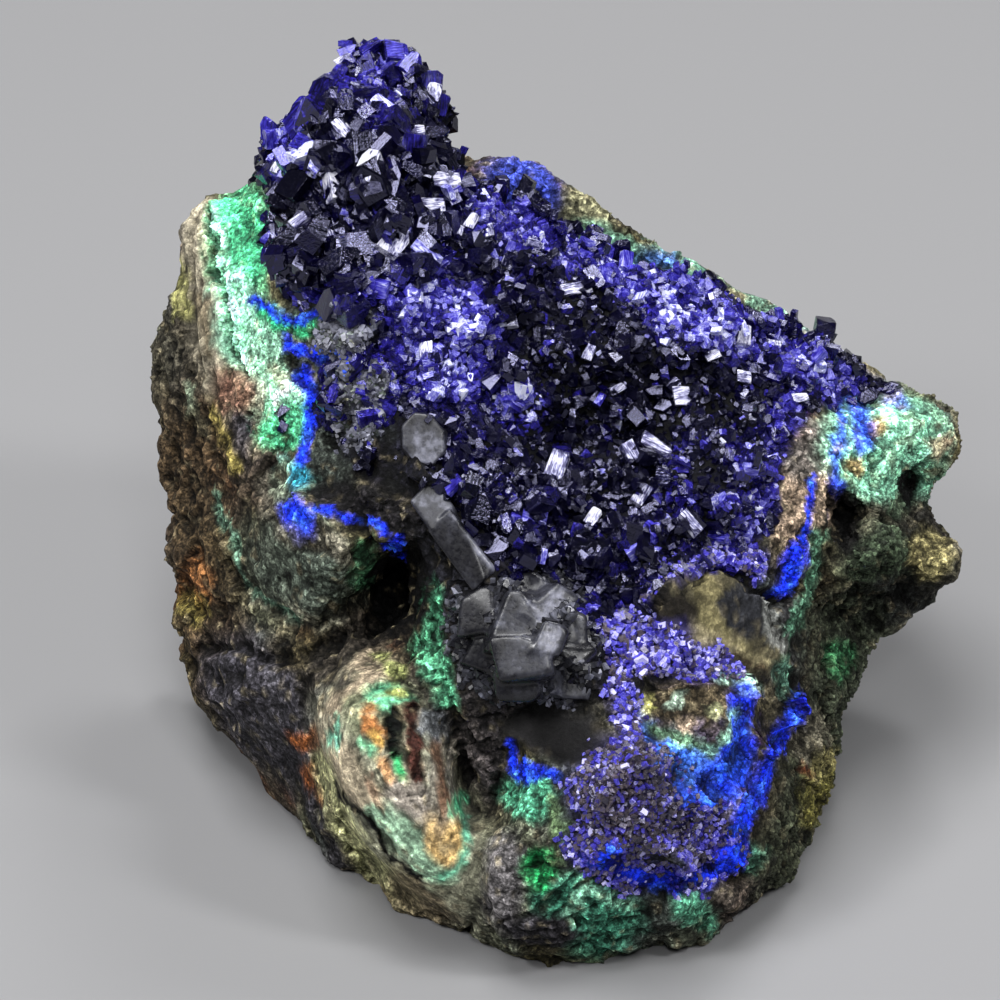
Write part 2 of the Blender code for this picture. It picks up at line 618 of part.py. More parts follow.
def main():
    for item in list(bpy.data.objects):
        bpy.data.objects.remove(item)
    parts = bpy.data.collections.new("azurite_specimen")
    cutters = bpy.data.collections.new("cutters")
    bpy.context.scene.collection.children.link(parts)
    bpy.context.scene.collection.children.link(cutters)

    rock = rock_blank(parts)
    core = core_of(rock, cutters)
    reduce_to(rock, ROCK_TRIANGLES)
    clean(rock)
    for name, (outline, lowest, colour, roughness, spacing, seed) in CRUSTS.items():
        if spacing:
            crystals = plant_crystals(rock, outline, WINDOWS.get(name), spacing, lowest, seed, cutters)
            combine(rock, "UNION", crystals, crossing=True)
    clean(rock, LEVEL)
    cut_base(rock)

    blocks = []
    crusts = []
    bed = copy_of(core, "bed", cutters)
    grow(bed, GAP)
    for name, (outline, lowest, colour, roughness, spacing, seed) in CRUSTS.items():
        block = crust_block(name, outline, lowest, cutters)
        crust = copy_of(rock, name, parts)
        combine(crust, "INTERSECT", block, keep_other=True)
        combine(crust, "DIFFERENCE", bed, keep_other=True)
        clean(crust, CRUST_LEVEL)
        finish(crust, colour, roughness)
        crusts.append(crust)
        grow(block, GAP)
        blocks.append(block)
    combine(rock, "DIFFERENCE", join("blocks", blocks, cutters))
    combine(rock, "UNION", core)
    bpy.data.objects.remove(bed)
    bpy.data.collections.remove(cutters)
    clean(rock, CRUST_LEVEL)
    rock.name = "matrix_rock"
    finish(rock, ROCK_COLOUR, ROCK_ROUGHNESS)
    for crust in crusts:
        combine(crust, "DIFFERENCE", rock, keep_other=True, crossing=True)
    centre_over_origin([rock, *crusts])


main()
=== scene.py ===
"""Azurite specimen: near-black and violet crystals on a rock with malachite and matte blue veins."""
import json
import math
import random

import bmesh
import bpy
import numpy
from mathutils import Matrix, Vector
from mathutils.bvhtree import BVHTree

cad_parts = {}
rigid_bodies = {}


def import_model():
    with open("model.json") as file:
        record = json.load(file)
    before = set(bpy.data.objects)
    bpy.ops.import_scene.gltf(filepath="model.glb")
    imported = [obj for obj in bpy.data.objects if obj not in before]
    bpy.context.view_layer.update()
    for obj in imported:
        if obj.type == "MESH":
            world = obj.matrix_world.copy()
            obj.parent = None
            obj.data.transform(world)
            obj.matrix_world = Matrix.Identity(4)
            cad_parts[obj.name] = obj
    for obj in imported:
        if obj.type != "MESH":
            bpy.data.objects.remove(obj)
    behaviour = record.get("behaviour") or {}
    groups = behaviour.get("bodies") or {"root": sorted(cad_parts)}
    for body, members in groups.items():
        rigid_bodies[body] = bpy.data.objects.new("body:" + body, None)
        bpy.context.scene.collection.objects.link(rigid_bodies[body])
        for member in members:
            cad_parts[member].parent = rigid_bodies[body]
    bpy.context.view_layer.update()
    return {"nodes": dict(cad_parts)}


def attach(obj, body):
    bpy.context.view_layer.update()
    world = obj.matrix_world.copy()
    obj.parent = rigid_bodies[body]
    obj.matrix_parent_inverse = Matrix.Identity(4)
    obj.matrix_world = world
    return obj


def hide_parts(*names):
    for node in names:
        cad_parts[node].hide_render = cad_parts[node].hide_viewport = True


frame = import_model()


# ---------------------------------------------------------------------------------------------------
# The host rock: one broken lump of iron-stained stone, with the skin of every growth on it.  It starts
# from the solids with their hairline joints closed, and gets the grit, pits, bark-like ridges, ledges
# and cracks of the real surface.  Spots on it are given on the leaning crystal face: u to the right, v up
# along the face and w out of it, in millimetres.
FACE_LEAN = math.radians(30)
FACE_CORNER = numpy.array((-0.00550, 0.00426, 0.0295))
OUTWARD = numpy.array((0.0, -math.cos(FACE_LEAN), math.sin(FACE_LEAN)))
UPWARD = numpy.array((0.0, math.sin(FACE_LEAN), math.cos(FACE_LEAN)))
WELD_REACH = 1e-7
JOINT_REACH = 0.00022
ROCK_VOXEL = 0.00037
ROCK_TRIANGLES = 197000
BACK_SHARE = 0.30
BACK_WEIGHT = 1000
SMALLEST_SHELL = 200
RELIEF_REACH = (-2.4, 1.1)
FLATTEN_REACH = (-4, 2.5)
GROWTHS = ["azurite_main_crust", "azurite_lower_crust", "grey_crystal_cluster",
           "malachite_left_crust", "malachite_wing"]


def linked(name, mesh):
    item = bpy.data.objects.new(name, mesh)
    bpy.context.scene.collection.objects.link(item)
    return item


def baked(item):
    """Works the object's modifiers into its mesh and takes them off."""
    bpy.context.view_layer.update()
    graph = bpy.context.evaluated_depsgraph_get()
    mesh = bpy.data.meshes.new_from_object(item.evaluated_get(graph))
    item.modifiers.clear()
    item.data = mesh
    return mesh


def meshed(work, name):
    """The work in hand as a mesh."""
    mesh = bpy.data.meshes.new(name)
    work.to_mesh(mesh)
    work.free()
    return mesh


def closed_copy(node):
    """A node's surface with its loose triangles joined."""
    work = bmesh.new()
    work.from_mesh(frame["nodes"][node].data)
    bmesh.ops.remove_doubles(work, verts=work.verts, dist=WELD_REACH)
    work.normal_update()
    return work


def fused_rock(name, nodes):
    whole = bmesh.new()
    for node in nodes:
        single = closed_copy(node)
        for vertex in single.verts:
            vertex.co += vertex.normal * JOINT_REACH
        piece = meshed(single, "piece")
        whole.from_mesh(piece)
        bpy.data.meshes.remove(piece)
    item = linked(name, meshed(whole, name))
    even = item.modifiers.new("even", "REMESH")
    even.mode = "VOXEL"
    even.voxel_size = ROCK_VOXEL
    baked(item)
    return item


def points_of(mesh):
    flat = numpy.empty(len(mesh.vertices) * 3, numpy.float32)
    mesh.vertices.foreach_get("co", flat)
    return flat.reshape(-1, 3).astype(float)


def normals_of(mesh):
    flat = numpy.empty(len(mesh.vertices) * 3, numpy.float32)
    mesh.vertex_normals.foreach_get("vector", flat)
    return flat.reshape(-1, 3).astype(float)


def put_points(mesh, points):
    mesh.vertices.foreach_set("co", numpy.asarray(points, numpy.float32).ravel())
    mesh.update()


def on_face(points):
    """Where points lie on the leaning face: u, v and w in millimetres."""
    local = (points - FACE_CORNER) * 1000
    return numpy.c_[local[:, 0], local @ UPWARD, local @ OUTWARD]


# Whole numbers that scatter well, for noise that is the same each time.
CELL_PRIMES = numpy.array([73856093, 19349663, 83492791])
SEED_PRIME = 1013
FIRST_STIR = (13, 1274126177)
SECOND_STIR = (15, 668265263)
CHANCE_TOP = 0x7fffffff
LUMP_SHIFT = 7.31
STEP_SHIFT = 5.17
FAR_AWAY = 1e9
VEIN_SOFT = 0.5


def stirred(key, shift, factor):
    """Scrambles whole numbers, each into one from 0 to CHANCE_TOP."""
    return (key ^ (key >> shift)) * factor & CHANCE_TOP


def lumpy_at(places, size, seed):
    """Smooth random numbers from -1 to 1 through space, one lump for about every `size`."""
    grid = places / size + seed * LUMP_SHIFT
    cell = numpy.floor(grid).astype(numpy.int64)
    part = grid - cell
    part = part * part * (3 - 2 * part)
    total = numpy.zeros(len(places))
    for corner in range(8):
        step = numpy.array([(corner >> axis) & 1 for axis in range(3)])
        key = (cell + step) @ CELL_PRIMES + seed * SEED_PRIME
        key = stirred(stirred(key, *FIRST_STIR), *SECOND_STIR)
        share = numpy.prod(numpy.where(step == 1, part, 1 - part), axis=1)
        total += share * (key / (CHANCE_TOP // 2) - 1)
    return total


def lumpy(size, seed):
    """The lumps at the points of the rock."""
    return lumpy_at(points, size, seed)


def rise(low, high, value):
    """0 below low, 1 above high and smooth between."""
    share = numpy.clip((value - low) / (high - low), 0, 1)
    return share * share * (3 - 2 * share)


def oval_reach(place, u, v, length, width, turn=0):
    """0 at the middle of an oval on the face and 1 on its rim; half sizes in millimetres."""
    across = place[:, 0] - u
    along = place[:, 1] - v
    cosine, sine = math.cos(math.radians(turn)), math.sin(math.radians(turn))
    return numpy.hypot((across * cosine + along * sine) / length, (along * cosine - across * sine) / width)


def spot_at(place, u, v, length, width, turn=0, soft=0.35):
    """1 inside an oval on the face and 0 outside it, with a soft edge."""
    return 1 - rise(1 - soft, 1 + soft, oval_reach(place, u, v, length, width, turn))


def spot(*sizes):
    """A spot on the rock, with a ragged rim."""
    return spot_at(ragged, *sizes)


def vein(path, width):
    """1 along a broken line on the rock, 0 away from it; half width in millimetres."""
    nearest = numpy.full(len(ragged), FAR_AWAY)
    for (u0, v0), (u1, v1) in zip(path, path[1:]):
        run = numpy.array((u1 - u0, v1 - v0))
        start = ragged[:, :2] - (u0, v0)
        share = numpy.clip(start @ run / (run @ run), 0, 1)
        nearest = numpy.minimum(nearest, numpy.linalg.norm(start - share[:, None] * run, axis=1))
    return 1 - rise(width * (1 - VEIN_SOFT), width * (1 + VEIN_SOFT), nearest)


def most(*masks):
    """The strongest of several masks at each point."""
    return numpy.maximum.reduce(masks)


def frayed():
    """The places with noise on them, so that no patch of colour or relief has a clean edge."""
    rough = place.copy()
    for size, reach in ((0.0040, 0.9), (0.0014, 0.5), (0.0006, 0.25)):
        for axis in range(2):
            rough[:, axis] += reach * lumpy(size, 11 + axis)
    return rough


def distances(points, node):
    """How far each point is from a node, in millimetres."""
    work = closed_copy(node)
    tree = BVHTree.FromBMesh(work)
    far = numpy.array([tree.find_nearest(point)[3] for point in points])
    work.free()
    return far * 1000


rock = fused_rock("rock_ground", ["matrix_rock"] + GROWTHS)
points = points_of(rock.data)
normals = normals_of(rock.data)
place = on_face(points)
facing = normals @ OUTWARD
front = rise(-0.30, 0.10, facing)
crystal_bed = 1 - rise(0.2, 1.6, numpy.minimum(distances(points, "azurite_main_crust"),
                                               distances(points, "azurite_lower_crust")))
ragged = frayed()


def ridged(size, seed):
    """Sharp crests, 1 along them and falling to 0 between."""
    return 1 - numpy.abs(lumpy(size, seed)) * 2


def broken(size, seed):
    """Angular steps, as of broken stone: every cell of space has a slanted plane of its own."""
    grid = points / size + seed * STEP_SHIFT
    cell = numpy.floor(grid).astype(numpy.int64)
    nearest = numpy.full(len(points), FAR_AWAY)
    height = numpy.zeros(len(points))
    for corner in range(27):
        home = cell + numpy.array([corner % 3 - 1, corner // 3 % 3 - 1, corner // 9 - 1])
        key = home @ CELL_PRIMES + seed * SEED_PRIME
        chances = []
        for _ in range(6):
            key = stirred(key, *FIRST_STIR)
            chances.append(key / CHANCE_TOP)
        away = grid - home - numpy.stack(chances[:3], axis=1)
        tilt = numpy.stack(chances[3:], axis=1) - 0.5
        far = (away * away).sum(axis=1)
        step = (away * tilt).sum(axis=1) + 0.3 * (chances[0] - 0.5)
        height = numpy.where(far < nearest, step, height)
        nearest = numpy.minimum(far, nearest)
    return height


def grained(along, across, size, stretch, seed):
    """Random streaks on the face, drawn out along one direction of it."""
    drawn = numpy.c_[(place[:, :2] @ along) / stretch, place[:, :2] @ across, place[:, 2]]
    return lumpy_at(drawn / 1000, size, seed)


def direction(turn):
    return numpy.array((math.cos(math.radians(turn)), math.sin(math.radians(turn))))


# Where the skin of the rock has a grain of its own; an oval is its middle, half sizes, turn and softness.
BARK = [(-30.6, 30), (-30.8, 24), (-29.8, 18), (-28.3, 12)]
KNOBS = [(-31, 6), (-31.5, -3), (-30, -12), (-28, -18)]
MOSS = [(37, -6), (35, -12), (34.5, -20), (32.5, -28), (29, -36)]
TONGUE = (-9.5, -28, 13.5, 6.5, -62)
WINDOW = (21.0, -11.6, 7.3, 4.6, -30, 0.2)
SLATE = (5.3, -22.2, 4.6, 2.6, -6, 0.2)
bark = front * vein(BARK, 2.0)
slab = front * most(spot(-26.0, 26, 6, 3.4, -80), spot(-24.5, 15, 8, 3.2, -66))
boulder = front * spot(-18.8, -5.5, 7.5, 6.5, -60)
field = front * spot(20.5, -26, 7, 6, 60)
wing = front * spot(38.5, 6, 8, 7)
facets = front * spot(-23.5, -23, 12, 6.5, -48)
tongue = front * spot(*TONGUE)
window = front * spot(*WINDOW)
slate = front * spot(*SLATE)
dome_bed = front * spot(12.6, -28.2, 7.0, 6.6, 0, 0.4)
knobs = front * vein(KNOBS, 4.2)
fibres = front * spot(8.5, -39.5, 6.5, 4.5, -20)
moss = front * vein(MOSS, 4.5)

relief = 1.5 * broken(0.0062, 1) + 0.75 * broken(0.0029, 2)
relief += 0.36 * broken(0.0016, 3) + 0.26 * broken(0.0009, 8)
relief += 0.14 * lumpy(0.0005, 5)
relief += 0.14 * grained(direction(-60), direction(30), 0.0007, 4, 13)
pits = rise(0.30, 0.70, lumpy(0.0022, 6)) * rise(-0.2, 0.4, lumpy(0.009, 7))
relief -= 0.9 * pits
relief *= 1 - most(0.55 * crystal_bed, 0.75 * bark, 0.80 * slab, 0.60 * boulder, 0.72 * field, 0.45 * wing,
                   0.72 * facets, 0.84 * tongue, 0.85 * window, 0.96 * slate, 0.80 * dome_bed)
relief += 0.5 * bark * grained(direction(-78), direction(12), 0.0007, 5, 9)
relief += 0.6 * knobs * ridged(0.0024, 10)
relief += 1.6 * boulder * broken(0.0052, 16)
relief += 0.4 * fibres * grained(direction(35), direction(-55), 0.0006, 5, 12)
relief += moss * (0.45 * ridged(0.0014, 14) + 0.3 * ridged(0.0024, 15))

# Cracks and clefts: the path, half width and depth of each.
for path, width, deep in (([(14.2, -9.8), (18.3, -6.8), (22, -6.6), (25.2, -8.0), (28, -10)], 0.55, 1.5),
                          ([(-15.8, -26.5), (-12, -32), (-8, -36.5)], 0.35, 0.7),
                          ([(-29.6, 29.5), (-28.9, 24), (-28.0, 20), (-27.2, 16), (-25.8, 12)], 0.35, 1.3),
                          ([(-2.6, -26), (-3.0, -32), (-2.0, -38), (-4, -43)], 0.5, 0.9),
                          ([(12.5, -20), (17, -23.2), (22.5, -22)], 0.3, 0.5),
                          ([(-30, -14.5), (-22, -15.5), (-15, -13.5)], 0.5, 0.6)):
    relief -= deep * front * vein(path, width)
relief -= 0.55 * crystal_bed
relief = numpy.clip(relief, *RELIEF_REACH)
moved = points + normals * relief[:, None] / 1000


def flatten(moved, mask, sink):
    """Draws the masked spot onto its own mean plane, sunk by so many millimetres."""
    spots = on_face(moved)
    basis = numpy.c_[spots[:, :2], numpy.ones(len(spots))]
    near = mask > 0.5
    plane = numpy.linalg.lstsq(basis[near], spots[near, 2], rcond=None)[0]
    drop = (basis @ plane - sink - spots[:, 2]) * mask
    return moved + OUTWARD * numpy.clip(drop, *FLATTEN_REACH)[:, None] / 1000


def evened(points, edges, rounds):
    """The points after they are drawn to the middle of their neighbours so many times."""
    links = numpy.bincount(edges.ravel(), minlength=len(points)).astype(float)
    for _ in range(rounds):
        total = numpy.stack([numpy.bincount(edges[:, 0], points[edges[:, 1], axis], len(points))
                             + numpy.bincount(edges[:, 1], points[edges[:, 0], axis], len(points))
                             for axis in range(3)], axis=1)
        points = 0.4 * points + 0.6 * total / links[:, None]
    return points


def edges_of(mesh):
    pairs = numpy.empty(len(mesh.edges) * 2, numpy.int32)
    mesh.edges.foreach_get("vertices", pairs)
    return pairs.reshape(-1, 2)


low_window = front * spot(18.4, -20.8, 5.0, 2.9, -12, 0.2)
tongue_top = spot(-9.5, -28, 11, 4.8, -62) * rise(12, 18, place[:, 2])
for mask, sink in ((window, 0.5), (slate, 0.4), (0.8 * low_window, 0.3), (0.75 * tongue_top, -0.2)):
    moved = flatten(moved, mask, sink)
dome_top = spot(12.6, -28.2, 7.2, 6.8, 0, 0.4) * rise(18, 22, place[:, 2])
soft_spots = most(rise(0.05, 0.6, field), rise(0.1, 0.7, most(tongue, tongue_top)), 0.9 * dome_top)
moved += (evened(moved, edges_of(rock.data), 40) - moved) * soft_spots[:, None]

# Ledges of the shell-like tongue, each a step down towards its rim.
shell = oval_reach(ragged, -9.5, -28, 13.5, 6.0, -62)
ledge = tongue * (0.22 * grained(direction(-55), direction(35), 0.0007, 6, 11)
                  + 0.45 * broken(0.0029, 2))
lower_left = 1 - rise(-3.0, 2.0, (place[:, 0] + 9.5) + 0.5 * (place[:, 1] + 28))
for step in (0.80, 0.97):
    ledge -= 0.60 * front * lower_left * rise(step - 0.03, step + 0.03, shell) * (1 - rise(1.1, 1.3, shell))
shell_crack = [(-15.7, -27.5), (-14.8, -29.2), (-12.8, -30.2), (-11.3, -32.9), (-9.9, -35.0), (-8.2, -36.4)]
shell_rim = [(-16.5, -21.5), (-16.3, -19.9), (-15.7, -18.8), (-14.2, -17.6), (-11.8, -15.8), (-10.2, -15.4)]
shell_hole = front * spot(-10.2, -22.4, 0.9, 1.7, 0)
shell_groove = front * vein([(-8.3, -20.6), (-8.0, -23.4), (-8.2, -26.0)], 0.5)
ledge -= 0.8 * front * vein(shell_crack, 0.35) + 1.1 * shell_hole + 0.6 * shell_groove
ledge -= 0.5 * front * spot(-10.8, -21.4, 3.2, 4.2, 20)
ledge += 0.5 * front * vein(shell_rim, 0.9)
ledge += 0.5 * front * spot(-10.2, -18.6, 2.3, 1.7, 0) * (0.4 + lumpy(0.0010, 21))
moved += OUTWARD * ledge[:, None] / 1000
sugar_lumps = front * most(spot(-15.0, 16.6, 3.0, 2.7, -10), spot(-13.8, 9.2, 2.7, 4.2))
moved += normals * (sugar_lumps * (0.7 + 0.35 * lumpy(0.0009, 19)))[:, None] / 1000
grit = 0.10 * lumpy(0.0007, 17) * (window + tongue) + 0.22 * lumpy(0.0008, 18) * low_window
moved += normals * grit[:, None] / 1000
moved[:, 2] = numpy.maximum(moved[:, 2], 0)
put_points(rock.data, moved)


def drop_specks(mesh):
    """Takes out the small loose shells, such as closed bubbles inside the rock."""
    work = bmesh.new()
    work.from_mesh(mesh)
    seen = set()
    specks = []
    for first in work.verts:
        if first in seen:
            continue
        shell = [first]
        seen.add(first)
        for vertex in shell:
            for edge in vertex.link_edges:
                other = edge.other_vert(vertex)
                if other not in seen:
                    seen.add(other)
                    shell.append(other)
        if len(shell) < SMALLEST_SHELL:
            specks += shell
    bmesh.ops.delete(work, geom=specks, context="VERTS")
    work.to_mesh(mesh)
    work.free()


# The unseen back is thinned first, so that the crystal face keeps its grit.
back = rock.vertex_groups.new(name="back")
behind = 1 - rise(-0.45, -0.15, facing)
for index in numpy.nonzero(behind > 0.01)[0]:
    back.add([int(index)], float(behind[index]), "REPLACE")
count = 2 * len(rock.data.polygons)
behind_count = count * float(behind.mean())
thin = rock.modifiers.new("thin the back", "DECIMATE")
thin.vertex_group = "back"
thin.vertex_group_factor = BACK_WEIGHT
thin.ratio = 1 - (1 - BACK_SHARE) * behind_count / count
even = rock.modifiers.new("thin", "DECIMATE")
even.ratio = min(1.0, ROCK_TRIANGLES / (count * thin.ratio))
baked(rock)
rock.vertex_groups.clear()
drop_specks(rock.data)
points = points_of(rock.data)
normals = normals_of(rock.data)
pairs = edges_of(rock.data)
place = on_face(points)
broad_normals = evened(normals, pairs, 14)
facing = broad_normals @ OUTWARD / numpy.linalg.norm(broad_normals, axis=1)
front = rise(-0.30, 0.05, facing)
ragged = frayed()
hollow_small = ((evened(points, pairs, 4) - points) * normals).sum(axis=1) * 1000
hollow_wide = ((evened(points, pairs, 30) - points) * normals).sum(axis=1) * 1000


# The colours of the stone, laid on from the ground up: iron-stained brown and olive, charcoal where the
# rock is fresh, tan rinds, malachite green and azurite blue where they only stain the surface.
def tint(shade):
    """A shade by its eye values, 0 to 255, as linear light."""
    return numpy.array([((value / 255 + 0.055) / 1.055) ** 2.4 if value > 10 else value / 3294.6
                        for value in shade])


CHARCOAL = (58, 56, 60)
BROWN = (78, 66, 50)
OLIVE = (98, 94, 60)
TAN = (158, 146, 116)
RUST = (158, 92, 48)
GREY_GREEN = (98, 110, 98)
MALACHITE = (84, 190, 138)
MINT = (168, 232, 200)
BLUE = (22, 52, 235)
INK = (11, 10, 34)
BLACK = (14, 13, 14)
PALE_YELLOW = (178, 176, 112)

colour = numpy.tile(tint(CHARCOAL), (len(points), 1))


def lay(shade, weight):
    """Lays a colour over what is there; weight is 0 to 1 for each point."""
    global colour
    colour = colour * (1 - weight[:, None]) + tint(shade) * weight[:, None]


def patchy(size, seed, low=-0.15, high=0.35):
    return rise(low, high, lumpy(size, seed))


def oval(shade, u, v, length, width, turn=0, strength=1.0, soft=0.3):
    lay(shade, strength * front * spot(u, v, length, width, turn, soft))


def stroke(shade, path, width, strength=1.0):
    lay(shade, strength * front * vein(path, width))


def paint(*patches):
    """Lays patches in turn, each a shade and then what an oval or, with a path, a stroke takes."""
    for shade, *where in patches:
        brush = stroke if isinstance(where[0], list) else oval
        brush(shade, *where)


for shade, strength, *patch in ((BROWN, 0.8, 0.011, 21), (OLIVE, 0.6, 0.006, 22),
                                (TAN, 0.35, 0.0035, 23, 0.2, 0.7), (RUST, 0.35, 0.007, 24, 0.35, 0.8),
                                (GREY_GREEN, 0.5, 0.009, 25, 0.2, 0.7),
                                (BLACK, 0.6, 0.0022, 26, 0.3, 0.8)):
    lay(shade, strength * patchy(*patch))

# Left flank: a dark crag, the bark-like rind and the malachite slab beside it.
paint(((72, 66, 54), -32, 12.5, 8, 4, -75, 0.8),
      ((158, 150, 130), [(-30.9, 30), (-30.8, 24), (-30, 18), (-28.6, 12)], 1.7),
      ((125, 112, 88), [(-30.2, 21), (-29.3, 15)], 0.7, 0.7),
      (PALE_YELLOW, [(-32.4, 24), (-31.8, 19)], 0.8, 0.9), (MALACHITE, -25.9, 26, 6, 3.6, -80),
      (MINT, -25.3, 17, 5.6, 2.9, -70), ((160, 216, 182), -22.9, 11.5, 5.4, 2.6, -62),
      ((172, 168, 140), -21.6, 12.2, 1.5, 0.8, -60, 0.7), ((180, 140, 110), -23.6, 9, 0.8, 0.5, -60, 0.6),
      ((150, 230, 185), [(-29, 28.5), (-28.3, 24), (-27.2, 19), (-26, 15)], 0.8),
      ((160, 160, 140), -24.6, 10.5, 2.4, 1.2, -60, 0.8), (MALACHITE, -21.2, 7.2, 3, 2, 50, 0.9),
      ((60, 175, 120), [(-24, 18.6), (-19.3, 17.4)], 1), ((110, 80, 66), -26.5, 10.6, 2.6, 1.6, -50, 0.8),
      ((150, 138, 72), [(-28.2, 8.6), (-26.8, 3.5)], 0.9, 0.9),
      ((150, 168, 142), [(-31.6, 11.6), (-30.9, 8.5), (-29.6, 6.8)], 0.6, 0.9),
      ((118, 126, 122), -15, 16.6, 3.2, 2.8, -10, 0.9), ((108, 118, 110), -14, 9, 2.9, 4.4, 0, 0.9),
      ((64, 70, 64), -16.4, 3.6, 2.6, 5.6, 0), ((34, 32, 34), -12.5, -0.6, 6.5, 2, -15),
      ((26, 24, 30), -10.5, 3.2, 5, 2.2, -30), ((34, 34, 40), -5, -6, 5, 4.6, -45),
      ((150, 222, 205), -20.6, 2, 2.3, 1.7, 0), ((70, 190, 225), -19.6, 2.4, 1.1, 1.3, 0),
      ((164, 192, 160), -21.7, 1.6, 1.4, 1.5, 0, 0.85))

# Lower left: the knobbly brown rim, a grey-green boulder, charcoal breaks and the shell-like tongue.
paint(((76, 62, 44), KNOBS, 4, 0.9), ((150, 100, 58), -31, -8, 2, 2.6, 0, 0.7),
      ((128, 118, 62), -31.5, -10.5, 1.8, 1.4, 0, 0.7), ((84, 94, 84), -19, -6.5, 6.5, 5.2, -50, 0.9),
      ((136, 130, 114), -18.5, -3.2, 5.6, 1.6, -28, 0.8), ((128, 122, 108), -22, 1, 3, 1.5, -10, 0.7),
      ((140, 140, 122), [(-24.5, -9.5), (-20, -12), (-15.5, -12.5)], 0.7, 0.7),
      ((118, 156, 132), [(-28.5, 0), (-26.5, -4), (-24.5, -9), (-20, -12)], 0.4),
      ((96, 170, 124), [(-12.5, -4.5), (-13, -8), (-10.5, -10)], 0.9, 0.8),
      ((64, 62, 68), -23.5, -21, 9, 5, -55), ((92, 90, 96), -22.5, -20, 5.5, 1.2, -85, 0.5),
      ((70, 62, 40), -17, -14.5, 5, 2, 10, 0.8), (RUST, -18.5, -23.5, 1.9, 1.2, 20),
      (RUST, -17.8, -27.5, 1.7, 1.3, 0), ((138, 138, 118), -9.5, -28, 13.5, 6.3, -62),
      ((58, 53, 47), -15.9, -15.2, 4.6, 2.2, 38, 0.95), ((58, 53, 47), -12, -13.6, 2.8, 1.5, 20, 0.9),
      ((84, 88, 66), -11.6, -19.4, 4.2, 3.6, 20, 0.85), ((126, 114, 96), shell_rim, 0.8),
      ((160, 146, 124), [(-15.6, -24.5), (-14.2, -27.5), (-12.4, -29)], 1.4, 0.8),
      ((124, 190, 160), [(-16.2, -21), (-15.9, -23.5)], 0.5),
      ((178, 178, 132), [(-17, -26), (-15.5, -31), (-13, -35), (-9, -38.5)], 1.3),
      ((148, 184, 154), [(-12, -29.8), (-8.6, -33.6), (-6, -36.3)], 1.1, 0.9),
      ((196, 160, 132), [(-12.9, -27.2), (-11.6, -29.4)], 0.4, 0.7),
      ((146, 138, 128), -9.3, -28.6, 2.8, 1.8, -60), ((182, 152, 100), -5.9, -32.3, 2.6, 2, -60),
      ((120, 195, 160), [(-3.6, -31), (-3.8, -34.5), (-6, -36.8)], 0.5),
      ((116, 104, 82), -8, -38.8, 4.2, 2.2, -35, 0.9),
      ((112, 204, 156), [(-6.5, -9.5), (-7, -14), (-5, -19)], 1.1),
      ((112, 196, 150), -11, -18.8, 2.5, 1.7, -10), ((120, 190, 146), -12.9, -23.9, 1.1, 0.7, -20, 0.9),
      ((150, 158, 92), -10.2, -18.4, 1.3, 0.9, 0), ((132, 138, 84), -10.1, -16, 1.2, 0.8, 0, 0.9),
      ((150, 100, 58), -12.2, -21.8, 0.9, 2, 22), ((196, 158, 84), -11.9, -22.8, 0.5, 1, 25, 0.9),
      ((164, 122, 82), -11.4, -25.6, 0.7, 1.3, 10, 0.9), ((56, 150, 92), -9.9, -24.9, 0.7, 1.5, 0),
      # The near-black oval that opens the next line fills the tongue's hole: painted shadow.
      ((12, 22, 16), -10.2, -22.3, 0.9, 1.6, 0), ((104, 98, 90), -5.6, -26.5, 1.8, 5, -12, 0.8),
      ((92, 95, 100), -6.2, -21.6, 1.4, 1.8, 0, 0.9),
      ((62, 36, 30), [(-8.6, -20.2), (-8.1, -23.4), (-8.3, -26.2)], 0.8),
      ((84, 60, 44), [(-6.2, -23.5), (-5.8, -26.5), (-6, -29.5)], 0.6, 0.9),
      ((54, 50, 50), -1.4, -21.5, 2.3, 8.5, 4), ((84, 78, 76), -2.6, -19.5, 0.7, 5.5, 6, 0.6),
      # The black along the shell crack, at the end of the next line, is painted shadow in the crack.
      ((96, 190, 142), -3.8, -29.2, 1.4, 0.8, 30), (BLACK, shell_crack, 0.3))

# Foot: malachite patches, a grey column and fibrous green under the druse.
paint(((112, 212, 168), 2.7, -28.2, 2.6, 2.2, -35), ((140, 172, 122), [(4.8, -29.5), (6.2, -34)], 0.8, 0.9),
      ((98, 95, 96), 0.3, -36.5, 2, 4.6, 0), ((70, 138, 112), 8.5, -39.6, 5.6, 3.8, -20),
      ((140, 198, 168), [(4.8, -42), (8.8, -37.4), (12.5, -38.5)], 0.6, 0.8),
      ((40, 152, 86), 3.5, -35.4, 1.7, 1.9, 0), ((54, 52, 56), 4, -41.2, 4, 1.7, -12),
      ((96, 168, 136), 19, -39.9, 2.6, 1.5, -30), ((84, 76, 70), 23.5, -39, 3.6, 2.6, 20, 0.9),
      ((96, 164, 136), 24.8, -34.8, 1.3, 1.4, 0))
